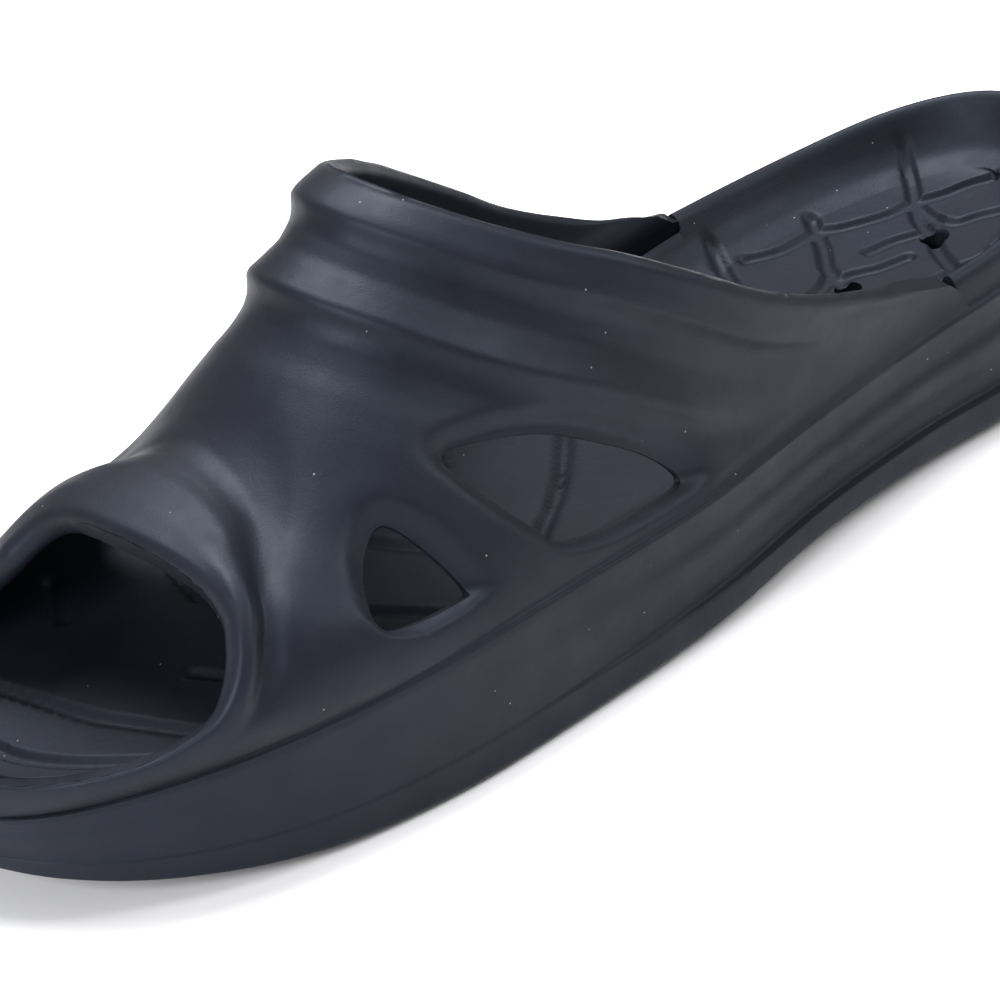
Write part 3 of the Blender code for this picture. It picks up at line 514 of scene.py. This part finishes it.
def tube(name, rings, ends):
    """A closed cutter from rings of places between two end points: a sphere laid on them."""
    count = len(rings[0])
    bm = bmesh.new()
    made = bmesh.ops.create_uvsphere(bm, u_segments=count, v_segments=len(rings) + 1, radius=1.0)["verts"]
    for v in made:
        level = round(math.acos(max(-1.0, min(1.0, v.co.z))) / math.pi * (len(rings) + 1))
        if level in (0, len(rings) + 1):
            x, y, z = ends[0 if level == 0 else 1]
        else:
            around = round(math.atan2(v.co.y, v.co.x) / (2 * math.pi) * count) % count
            x, y, z = rings[level - 1][around]
        v.co = (x * MM + HEEL_X, y * MM, z * MM)
    close_up(bm)
    return piece(name, bm)


def fine_lines():
    """Lines of the upper, close together at the collar and at the opening."""
    collar = CROWN_END * np.array([0, 0.004, 0.009, 0.015, 0.022, 0.030, 0.040])
    middle = np.linspace(0.03, 0.50, 112)
    edge = np.array([0.507, 0.514, 0.520, 0.526, 0.531, 0.5355, 0.539, 0.5412, 0.5424, CROWN_END])
    front = [np.linspace(*span)[1:] for span in ((CROWN_END, 0.67, 44), (0.67, 0.86, 26), (0.86, 1, 30))]
    return np.concatenate([collar, middle, edge] + front)


def fine_climbs():
    """Climbs, close together at the parting line and at the opening's edge."""
    return np.concatenate([[0, 0.006, 0.014, 0.025], np.linspace(0.038, 0.93, 76),
                           [0.942, 0.953, 0.963, 0.972, 0.980, 0.987, 0.993, 0.997, 1.0]])


def vent_loop(rows, columns):
    """Smooth closed loop of a vent in line and climb."""
    loop = np.array(rows, float)[:, columns]
    again = np.concatenate([loop[-3:], loop, loop[:4]])
    return natural(np.arange(-3.0, len(loop) + 4), again, np.arange(0, len(loop), 0.125))


def inside(points, loop):
    """Which points lie inside a closed loop, by crossings."""
    a, b = loop, np.roll(loop, -1, axis=0)
    x, y = points[:, 0][:, None], points[:, 1][:, None]
    between = (a[None, :, 1] > y) != (b[None, :, 1] > y)
    rise = np.where(b[:, 1] == a[:, 1], 1e-12, b[:, 1] - a[:, 1])
    at = (b[:, 0] - a[:, 0]) * (y - a[:, 1]) / rise + a[:, 0]
    return (between & (x < at)).sum(1) % 2 == 1


def vent_loops(rows, surface, side):
    """Places and normals of a vent's hole, and places of its recess's rim."""
    loops = [vent_loop(rows, columns) for columns in ([0, 1], [2, 3])]
    if side < 0:
        loops = [np.stack([loop[:, 0], 2 - loop[:, 1]], -1) for loop in loops]
    hole, n = on_vamp(surface, loops[0][:, 0], loops[0][:, 1])
    rim, _ = on_vamp(surface, loops[1][:, 0], loops[1][:, 1])
    return loops, hole, n, rim


def countersink(surface, where, base, side):
    """Depth of the recesses round the vents at each place of one side, mm."""
    depth = np.zeros(len(base))
    for rows in (LARGE_VENT, SMALL_VENT):
        (hole, rim), hole_p, _, rim_p = vent_loops(rows, surface, side)
        lo, hi = rim.min(0) - RECESS_MARGIN, rim.max(0) + RECESS_MARGIN
        near = ((where > lo) & (where < hi)).all(1)
        to_hole, to_rim = nearest(base[near], hole_p), nearest(base[near], rim_p)
        within_rim, within_hole = inside(where[near], rim), inside(where[near], hole)
        t = to_hole / (to_hole + to_rim + 1e-6)
        slope = np.where(within_hole, 1.0, np.where(within_rim, 1 - t ** RECESS_SLOPE, 0.0))
        # a soft shoulder just outside the recess
        drop, reach = RECESS_SHOULDER
        shoulder = np.where(within_rim, 0.0, drop * np.exp(-(to_rim / reach) ** 2))
        # narrow parts of the recess are shallower
        room = np.clip((to_hole + to_rim) / RECESS_ROOM, RECESS_LEAST, 1.0)
        depth[near] = np.maximum(depth[near], COUNTERSINK * room * np.maximum(slope, 0) + shoulder)
    return depth


def step_out(points, climb, to_collar, to_opening):
    """How far steps and hood stand out of the vamp at each place, mm."""
    steps = curve(STEPS, to_collar) * ease((climb - STEP_FADE[0]) / STEP_FADE[1])
    hood = curve(HOOD, to_opening / curve(HOOD_WIDTH, points[:, 1]))
    hood = hood * ease((points[:, 2] - HOOD_FADE[0]) / HOOD_FADE[1])
    # the foot swells a little over the parting line, but not at the toe
    before_toe = ease((LENGTH - BEAD_END[0] - points[:, 0]) / BEAD_END[1])
    return steps + hood + FOOT_BEAD * np.exp(-(climb / BEAD_CLIMB) ** 2) * before_toe


def edge_round(distance, radius):
    """How far a rounded edge falls back, at a distance from it, mm."""
    d = np.clip(distance, 0, radius)
    return radius - np.sqrt(np.maximum(radius ** 2 - (radius - d) ** 2, 0))


def radius_at(height, least, start, span):
    """Radius of a rounded edge, which is sharper low down, mm."""
    return EDGE_ROUND * (least + (1 - least) * ease((height - start) / span))


def smoothed(field, passes):
    """A grid of depths with its small unevenness taken out."""
    for _ in range(passes):
        field[1:-1] += (field[:-2] + field[2:] - 2 * field[1:-1]) / 4
        field[:, 1:-1] += (field[:, :-2] + field[:, 2:] - 2 * field[:, 1:-1]) / 4
    return field


def upper_mesh(lines, climbs):
    """The upper as one closed shell: outer sheet, inner sheet, bridged along their two borders."""
    surface = vamp(*VAMP_GRID)
    outer, inner = [], []
    for side in (1, -1):
        line, climb = side_places(lines, climbs, side)
        base, normals = (g.reshape(-1, 3) for g in on_vamp(surface, line, climb))
        up = np.tile(climbs, len(lines))
        to_collar, to_opening = nearest(base, collar_path()), nearest(base, opening_path(surface))
        out = step_out(base, up, to_collar, to_opening)
        recess = countersink(surface, np.stack([line.ravel(), climb.ravel()], -1), base, side)
        out -= smoothed(recess.reshape(line.shape), RECESS_PASSES).ravel()
        out = np.maximum(out, THINNEST - WALL)
        # the collar's edge is square where it butts against the heel rim
        fall = np.maximum(edge_round(to_collar, radius_at(base[:, 2], *COLLAR_ROUND)),
                          edge_round(to_opening, radius_at(base[:, 2], *OPENING_ROUND)))
        inside_face = base - into_wall(base, normals, len(climbs)) * (WALL - fall)[:, None]
        shape = (len(lines), len(climbs), 3)
        flip = slice(None) if side > 0 else slice(-2, None, -1)
        outer.append((base + normals * (out - fall)[:, None]).reshape(shape)[flip])
        inner.append(inside_face.reshape(shape)[flip])
    outer, inner = np.concatenate(outer), np.concatenate(inner)
    rows, columns = outer.shape[:2]
    crown = int((lines <= CROWN_END + 1e-6).sum()) - 1
    bm = bmesh.new()
    outer_v = sheet(bm, outer)
    inner_v = sheet(bm, inner)
    for side_v in (outer_v, inner_v):
        welds = {side_v[rows - 1 - k][columns - 1]: side_v[k][columns - 1] for k in range(crown + 1)}
        bmesh.ops.weld_verts(bm, targetmap=welds)
        for k in range(crown + 1):
            side_v[rows - 1 - k][columns - 1] = side_v[k][columns - 1]

    def edges(verts):
        ring = []
        for p, q in zip(verts, verts[1:] + verts[:1]):
            edge = bm.edges.get((p, q))
            if edge:
                ring.append(edge)
        return ring

    for low in (True, False):
        ring = []
        for v in (outer_v, inner_v):
            if low:
                path = [v[k][0] for k in range(rows)] + [v[rows - 1][k] for k in range(1, columns)]
                path += [v[0][k] for k in range(columns - 2, 0, -1)]
            else:
                path = [v[k][columns - 1] for k in range(crown, rows - 1 - crown)]
            ring += edges(path)
        bmesh.ops.bridge_loops(bm, edges=ring)
    close_up(bm)
    return bm, surface


def vent_cutter(name, rows, surface, side):
    """Cutter of one vent: straight through the wall, with a hair of chamfer at the recess."""
    _, hole, n, _ = vent_loops(rows, surface, side)
    mean = n.mean(0) / np.linalg.norm(n.mean(0))
    middle = hole.mean(0)
    spread = (hole - middle) / np.linalg.norm(hole - middle, axis=1)[:, None]
    chamfer, flare = spread * VENT_CHAMFER, spread * VENT_FLARE
    rings = [hole + mean * 4.0 + chamfer, hole - n * (COUNTERSINK - VENT_CHAMFER) + chamfer,
             hole - n * (COUNTERSINK + 0.15), hole - n * (WALL - 0.5), hole - n * (WALL + 0.6) + flare,
             hole - mean * 9.0 + flare]
    return tube(name, rings, [middle + mean * 5.0, middle - mean * 10.0])


def rim_mask(turn, fade=RIM_END, reach=0.0):
    """1 along the heel rim, 0 where the upper sits on the sole."""
    x = outline(turn)[:, 0]
    end = np.where(np.asarray(turn) <= 1, STRAP_END_LATERAL, STRAP_END_MEDIAL)
    return ease((end + reach - x) / fade)


def sole_turns(count):
    """Turns along one side, evenly spaced in plan, closer where a strap ends."""
    fine = np.linspace(0, 1, 2000)
    plan = outline(fine)
    pace = curve(TURN_PACE, (plan[1:, 0] + plan[:-1, 0]) / 2)
    run = np.concatenate([[0], np.cumsum(np.linalg.norm(np.diff(plan, axis=0), axis=1) * pace)])
    turns = np.interp(np.linspace(0, run[-1], count), run, fine)
    extra = [math.acos(1 - 2 * (end + d) / LENGTH) / math.pi
             for end in (STRAP_END_LATERAL, STRAP_END_MEDIAL) for d in STRAP_END_STEPS]
    keep = [t for t in turns if min(abs(t - e) for e in extra) > CLOSEST_TURN]
    return np.array(sorted(keep + extra))


def stroke_depth(x, y):
    """Depth of the footbed's grooves at plan places, 0 to 1."""
    depth = np.zeros(len(x))
    for stroke in FOOTBED_STROKES:
        path = along([(a, b, 0.0) for a, b in stroke], np.linspace(0, 1, 40))[:, :2]
        lo, hi = path.min(0) - GROOVE_REACH, path.max(0) + GROOVE_REACH
        near = (x > lo[0]) & (x < hi[0]) & (y > lo[1]) & (y < hi[1])
        d = nearest(np.stack([x[near], y[near]], -1), path)
        depth[near] = np.maximum(depth[near], 1 - ease((d - GROOVE_HALF) / GROOVE_SLOPE))
    return depth


def tread_lift(x, y):
    """Depth of the tread's bars at plan places, 0 to 1."""
    lift = np.zeros(len(x))
    for at, lean, width in TREAD:
        turn_at = np.array([float(turn_of(at, 1))])
        lo = outline(2 - turn_at)[0, 1] * width
        hi = outline(turn_at)[0, 1] * width
        off = np.abs(x - at * LENGTH - math.tan(math.radians(lean)) * y)
        ends = np.maximum(lo - y, y - hi)
        lift = np.maximum(lift, (1 - ease((off - TREAD_HALF) / TREAD_SLOPE)) * (1 - ease(ends / TREAD_END)))
    return lift


def sole_mesh(count, across):
    """The sole as one closed body: a band round its side and rim, a footbed and a tread."""
    half = sole_turns(count)
    turn = np.concatenate([half, 2 - half[-2::-1]])
    plan, inn = outline(turn), inward(turn)
    crease = crease_height(turn)
    under = round_outline("under", "under", turn)
    share = plan[:, 0] / LENGTH
    pad = curve(PAD, share)
    mask = rim_mask(turn)
    dish = rim_mask(turn, DISH_END, DISH_REACH)
    rise = RIM_RISE * round_outline("rim", "rim", turn)
    lost, start, span = FLANK_FADE
    strength = 1 - lost * ease((share - start) / span)
    start, span, part = TOE_LEDGE
    slump = 1 - part * np.clip((share - start) / span, 0, 1)
    loops = []

    def add(inset, z):
        loops.append(np.concatenate([plan + inn * (inset + np.zeros(len(turn)))[:, None], z[:, None]], 1))

    grid_inset, pad_inset = PAD_INSETS
    under_inset = -FLANK[0][1]
    add(grid_inset, pad)
    for t in (0.25, 0.5, 0.75, 1.0):
        add(grid_inset - (grid_inset - pad_inset) * t, pad)
    # from the pad's edge the underside rises to the lower edge of the side
    for t in (0.25, 0.5, 0.75, 0.9):
        add(pad_inset + (under_inset - pad_inset) * t, pad + (under - pad) * t ** 1.6)
    for climb in np.concatenate([np.linspace(*row) for row in FLANK_ROWS] + [FLANK_TOP]):
        out = float(curve(FLANK, climb))
        faded = FLANK_FADED[0] < climb < FLANK_FADED[1]
        add(-out * (strength if faded else 1), under + climb * (crease - under))
    for inset in np.concatenate([np.linspace(*row) for row in RIM_ROWS]):
        rim, ledge = (float(curve(RIM, inset, column)) for column in (1, 2))
        # under the strap's wall the rim stops at once, inside the shoe its slope runs on and dies away
        here = mask + (dish - mask) * ease((inset - DISH_FROM[0]) / DISH_FROM[1])
        add(inset, crease + rim * rise * here + ledge * (1 - here) * slump)
    footbed, tread = loops[-1], loops[0]
    grooved = [loop - np.outer(stroke_depth(loop[:, 0], loop[:, 1]) * GROOVE_DEPTH, (0, 0, 1))
               for loop in loops[-GROOVED_LOOPS:]]
    bm = bmesh.new()
    sheet(bm, np.stack(loops[:-GROOVED_LOOPS] + grooved, 1))

    def fill(loop, rows):
        """Places of a grid across a loop, and how far across each row is."""
        fan = np.linspace(0, 1, rows)
        left, right = loop[:len(half)], loop[::-1][:len(half)]
        return left[:, None] * (1 - fan)[None, :, None] + right[:, None] * fan[None, :, None], fan

    places, fan = fill(footbed, across)
    places[..., 2] -= FOOTBED_SAG * np.sin(math.pi * fan)[None]
    depth = stroke_depth(places[..., 0].ravel(), places[..., 1].ravel())
    places[..., 2] -= GROOVE_DEPTH * depth.reshape(places.shape[:2])
    sheet(bm, places)
    places, fan = fill(tread, across // 4)
    lift = tread_lift(places[..., 0].ravel(), places[..., 1].ravel()).reshape(places.shape[:2])
    places[..., 2] += TREAD_DEPTH * lift * np.minimum(1, TREAD_EDGE * np.minimum(fan, 1 - fan))[None]
    sheet(bm, places)
    close_up(bm)
    return bm


def drain_cutter(index, x, y):
    """Round pocket with a softened mouth, into the footbed."""
    angle = np.linspace(0, 2 * math.pi, 32, endpoint=False)
    ring = np.stack([np.cos(angle), np.sin(angle), 0 * angle], -1)
    centre = np.array([x, y, DRAIN_HEIGHT])
    rings = [centre + ring * r + (0, 0, z) for r, z in DRAIN_RINGS]
    return tube("drain_%d" % index, rings, [centre + (0, 0, DRAIN_ENDS[0]), centre - (0, 0, DRAIN_ENDS[1])])


def new_group(name, inputs, outputs):
    """An empty node group with named float or colour sockets."""
    group = bpy.data.node_groups.new(name, "ShaderNodeTree")
    for label, kind, value in inputs:
        item = group.interface.new_socket(label, in_out="INPUT", socket_type=kind)
        if value is not None:
            item.default_value = value
    for label, kind in outputs:
        group.interface.new_socket(label, in_out="OUTPUT", socket_type=kind)
    return group, group.nodes.new("NodeGroupInput"), group.nodes.new("NodeGroupOutput")


def foam_skin_group():
    """Colour, roughness and height of moulded foam: fine grain, faint mottling, a few pale specks of dust."""
    group, src, dst = new_group(
        "foam_skin",
        (("Base", "NodeSocketColor", (0.05, 0.055, 0.065, 1)),
         ("Lift", "NodeSocketColor", (0.09, 0.095, 0.11, 1)),
         ("Rough", "NodeSocketFloat", 0.55),
         ("Grain", "NodeSocketFloat", 1.0),
         ("Dust", "NodeSocketFloat", 1.0)),
        (("Color", "NodeSocketColor"), ("Roughness", "NodeSocketFloat"), ("Height", "NodeSocketFloat")))
    nodes, link = group.nodes, group.links.new
    coord = nodes.new("ShaderNodeTexCoord")

    def noise(scale, detail, roughness=0.5):
        n = nodes.new("ShaderNodeTexNoise")
        n.inputs["Scale"].default_value = scale
        n.inputs["Detail"].default_value = detail
        n.inputs["Roughness"].default_value = roughness
        link(coord.outputs["Object"], n.inputs["Vector"])
        return n.outputs["Fac"]

    def math_node(operation, a, b=None, clamp=False):
        n = nodes.new("ShaderNodeMath")
        n.operation, n.use_clamp = operation, clamp
        for socket, value in zip(n.inputs, (a, b)):
            if value is None:
                continue
            if isinstance(value, (int, float)):
                socket.default_value = value
            else:
                link(value, socket)
        return n.outputs[0]

    def ranged(value, lo, hi, to_lo=0.0, to_hi=1.0):
        n = nodes.new("ShaderNodeMapRange")
        for label, v in (("From Min", lo), ("From Max", hi), ("To Min", to_lo), ("To Max", to_hi)):
            n.inputs[label].default_value = v
        link(value, n.inputs["Value"])
        return n.outputs["Result"]

    cells = nodes.new("ShaderNodeTexVoronoi")
    cells.inputs["Scale"].default_value = 340.0
    link(coord.outputs["Object"], cells.inputs["Vector"])
    pick = nodes.new("ShaderNodeSeparateColor")
    link(cells.outputs["Color"], pick.inputs["Color"])
    small = ranged(cells.outputs["Distance"], 0.07, 0.045)
    rare = math_node("GREATER_THAN", pick.outputs["Red"], 0.86)
    speck = math_node("MULTIPLY", math_node("MULTIPLY", small, rare), src.outputs["Dust"], clamp=True)
    mottle = ranged(noise(55.0, 4.0, 0.6), 0.35, 0.68)
    mix = nodes.new("ShaderNodeMix")
    mix.data_type = "RGBA"
    link(math_node("MULTIPLY", mottle, 0.22), mix.inputs["Factor"])
    link(src.outputs["Base"], mix.inputs["A"])
    link(src.outputs["Lift"], mix.inputs["B"])
    dusted = nodes.new("ShaderNodeMix")
    dusted.data_type = "RGBA"
    link(math_node("MULTIPLY", speck, 0.55), dusted.inputs["Factor"])
    link(mix.outputs["Result"], dusted.inputs["A"])
    dusted.inputs["B"].default_value = (0.36, 0.36, 0.36, 1)
    link(dusted.outputs["Result"], dst.inputs["Color"])
    rough = math_node("ADD", src.outputs["Rough"], ranged(noise(130.0, 3.0), 0.3, 0.7, -0.05, 0.05))
    link(rough, dst.inputs["Roughness"])
    fine = math_node("MULTIPLY", noise(2600.0, 2.0, 0.6), 0.00006)
    orange = math_node("MULTIPLY", noise(420.0, 2.0), 0.00008)
    height = math_node("MULTIPLY", math_node("ADD", fine, orange), src.outputs["Grain"])
    link(height, dst.inputs["Height"])
    return group


def foam_material(name, base, lift, rough, grain, dust):
    """One moulded foam: the skin group feeds a Principled BSDF."""
    mat = bpy.data.materials.new(name)
    mat.use_nodes = True
    tree = mat.node_tree
    shader = tree.nodes["Principled BSDF"]
    skin = tree.nodes.new("ShaderNodeGroup")
    skin.node_tree = bpy.data.node_groups.get("foam_skin") or foam_skin_group()
    skin.inputs["Base"].default_value = (*base, 1)
    skin.inputs["Lift"].default_value = (*lift, 1)
    skin.inputs["Rough"].default_value = rough
    skin.inputs["Grain"].default_value = grain
    skin.inputs["Dust"].default_value = dust
    bump = tree.nodes.new("ShaderNodeBump")
    bump.inputs["Strength"].default_value = 0.55
    bump.inputs["Distance"].default_value = 1.0
    tree.links.new(skin.outputs["Height"], bump.inputs["Height"])
    tree.links.new(bump.outputs["Normal"], shader.inputs["Normal"])
    tree.links.new(skin.outputs["Color"], shader.inputs["Base Color"])
    tree.links.new(skin.outputs["Roughness"], shader.inputs["Roughness"])
    shader.inputs["Specular IOR Level"].default_value = 0.26
    shader.inputs["Specular Tint"].default_value = (0.72, 0.80, 1.0, 1)
    return mat


# The paler tone of each foam's mottling.
UPPER_LIFT = (0.0135, 0.0150, 0.0235)
SOLE_LIFT = (0.0122, 0.0138, 0.0220)
SOLE_DULLER = 0.03      # how much rougher the sole's skin is
UPPER_GRAIN, SOLE_GRAIN = 1.0, 1.2


class SlideSettings(bpy.types.PropertyGroup):
    """Colours, finish and studio of the slide."""

    upper_colour: bpy.props.FloatVectorProperty(
        name="Upper", description="Foam colour of the upper",
        subtype="COLOR", size=3, default=(0.0056, 0.0066, 0.0108))
    sole_colour: bpy.props.FloatVectorProperty(
        name="Sole", description="Foam colour of the sole",
        subtype="COLOR", size=3, default=(0.0052, 0.0062, 0.0104))
    roughness: bpy.props.FloatProperty(
        name="Roughness", description="How dull the moulded skin is",
        default=0.49, min=0.1, max=1.0, subtype="FACTOR")
    dust: bpy.props.FloatProperty(
        name="Dust", description="Strength of the pale specks",
        default=1.0, min=0.0, max=1.0, subtype="FACTOR")
    key_power: bpy.props.FloatProperty(
        name="Key light", description="Power of the large light", default=18.0, min=0.0, unit="POWER")


class SLIDE_OT_upper(bpy.types.Operator):
    """Model the hollow upper with its steps, lip, vents and rounded edges"""

    bl_idname = "slide.upper"
    bl_label = "Upper"

    def execute(self, context):
        s = context.scene.slide
        bm, surface = upper_mesh(fine_lines(), fine_climbs())
        upper = piece("moulded_upper", bm)
        for side in (1, -1):
            for name, rows in (("large", LARGE_VENT), ("small", SMALL_VENT)):
                cut(upper, vent_cutter("%s_vent_%d" % (name, side > 0), rows, surface, side))
        upper.data.materials.clear()
        upper.data.materials.append(foam_material(
            "upper_foam_skin", s.upper_colour, UPPER_LIFT, s.roughness, UPPER_GRAIN, s.dust))
        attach(upper, "root")
        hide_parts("upper")
        return {"FINISHED"}


class SLIDE_OT_sole(bpy.types.Operator):
    """Model the sole with its rim, side steps, footbed grooves, drain holes and tread"""

    bl_idname = "slide.sole"
    bl_label = "Sole"

    def execute(self, context):
        s = context.scene.slide
        sole = piece("moulded_sole", sole_mesh(*SOLE_GRID))
        for number, (x, y) in enumerate(DRAIN_HOLES):
            cut(sole, drain_cutter(number, x, y))
        sole.data.materials.clear()
        sole.data.materials.append(foam_material(
            "sole_foam_skin", s.sole_colour, SOLE_LIFT, s.roughness + SOLE_DULLER, SOLE_GRAIN, s.dust))
        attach(sole, "root")
        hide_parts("sole")
        return {"FINISHED"}


# The photo's camera, from the outer side and the toe, in the tables' millimetres.
CAMERA_TURN = 36.43         # degrees from side-on towards the toe
CAMERA_RISE = 29.33         # degrees above the floor
CAMERA_ROLL = -7.83         # degrees
CAMERA_RANGE = 866.8        # to the target, mm
CAMERA_FOCAL = 4586.0       # in pixels of a 1000 pixel frame
TARGET = (0.55 * LENGTH, 0.0, 40.0)
TARGET_PIXEL = (455.3, 411.6)
FRAME_PIXELS = 1000.0
SENSOR = 36.0               # mm
# The studio: its floor and world, and each lamp's place and width in metres and its share of the key power.
FLOOR_COLOUR, FLOOR_ROUGHNESS, FLOOR_HALF = (0.93, 0.93, 0.94, 1), 0.9, 6.0
WORLD_STRENGTH = 0.38
LAMPS = (
    ("top_light", (-0.10, -0.30, 1.10), 0.7, 1.2),
    ("side_light", (-0.70, 0.60, 0.80), 0.5, 0.30),
    ("toe_light", (0.95, 0.30, 0.55), 0.4, 0.50),
)
LAMPS_AIM = Vector((0, 0, 0.03))


class SLIDE_OT_stage(bpy.types.Operator):
    """Set the floor, the lights and the camera at the photograph's angle"""

    bl_idname = "slide.stage"
    bl_label = "Stage"

    def execute(self, context):
        bm = bmesh.new()
        bmesh.ops.create_grid(bm, x_segments=1, y_segments=1, size=FLOOR_HALF)
        floor = piece("studio_floor", bm)
        mat = bpy.data.materials.new("studio_floor")
        mat.use_nodes = True
        shader = mat.node_tree.nodes["Principled BSDF"]
        shader.inputs["Base Color"].default_value = FLOOR_COLOUR
        shader.inputs["Roughness"].default_value = FLOOR_ROUGHNESS
        floor.data.materials.append(mat)
        self.light()
        self.camera()
        return {"FINISHED"}

    def light(self):
        world = bpy.data.worlds.new("studio")
        bpy.context.scene.world = world
        world.use_nodes = True
        background = world.node_tree.nodes["Background"]
        background.inputs["Color"].default_value = (1.0, 1.0, 1.0, 1)
        background.inputs["Strength"].default_value = WORLD_STRENGTH
        bpy.context.scene.view_settings.view_transform = "Standard"
        power = bpy.context.scene.slide.key_power
        for name, place, size, share in LAMPS:
            data = bpy.data.lights.new(name, "AREA")
            data.size = size
            data.energy = power * share
            lamp = bpy.data.objects.new(name, data)
            bpy.context.scene.collection.objects.link(lamp)
            lamp.location = place
            lamp.rotation_mode = "QUATERNION"
            lamp.rotation_quaternion = (LAMPS_AIM - Vector(place)).to_track_quat("-Z", "Y")

    def camera(self):
        a, e, r = (math.radians(v) for v in (CAMERA_TURN, CAMERA_RISE, CAMERA_ROLL))
        back = Vector((math.sin(a) * math.cos(e), math.cos(a) * math.cos(e), math.sin(e)))
        right = Vector((0, 0, 1)).cross(back).normalized()
        up = back.cross(right)
        right, up = (math.cos(r) * right + math.sin(r) * up, -math.sin(r) * right + math.cos(r) * up)
        target = Vector((TARGET[0] * MM + HEEL_X, TARGET[1] * MM, TARGET[2] * MM))
        depth = CAMERA_RANGE * MM
        middle = FRAME_PIXELS / 2
        eye = (target - right * ((TARGET_PIXEL[0] - middle) / CAMERA_FOCAL * depth)
               - up * ((middle - TARGET_PIXEL[1]) / CAMERA_FOCAL * depth) + back * depth)
        data = bpy.data.cameras.new("photo_camera")
        data.sensor_width = SENSOR
        data.lens = CAMERA_FOCAL / FRAME_PIXELS * SENSOR
        data.clip_start, data.clip_end = 0.01, 50.0
        camera = bpy.data.objects.new("photo_camera", data)
        bpy.context.scene.collection.objects.link(camera)
        turn = Matrix((right, up, back)).transposed()
        camera.matrix_world = Matrix.Translation(eye) @ turn.to_4x4()
        bpy.context.scene.camera = camera


class SLIDE_PT_panel(bpy.types.Panel):
    """Lists the slide's pieces and finish"""

    bl_label = "Slide sandal"
    bl_idname = "SLIDE_PT_panel"
    bl_space_type = "VIEW_3D"
    bl_region_type = "UI"
    bl_category = "Slide"

    def draw(self, context):
        s = context.scene.slide
        for label in ("upper_colour", "sole_colour", "roughness", "dust", "key_power"):
            self.layout.prop(s, label)
        for operator in (SLIDE_OT_upper, SLIDE_OT_sole, SLIDE_OT_stage):
            self.layout.operator(operator.bl_idname)


CLASSES = (SlideSettings, SLIDE_OT_upper, SLIDE_OT_sole, SLIDE_OT_stage, SLIDE_PT_panel)


def register():
    for cls in CLASSES:
        bpy.utils.register_class(cls)
    bpy.types.Scene.slide = bpy.props.PointerProperty(type=SlideSettings)


def unregister():
    del bpy.types.Scene.slide
    for cls in reversed(CLASSES):
        bpy.utils.unregister_class(cls)


def main():
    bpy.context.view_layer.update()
    register()
    bpy.ops.slide.upper()
    bpy.ops.slide.sole()
    bpy.ops.slide.stage()


if __name__ == "__main__":
    main()
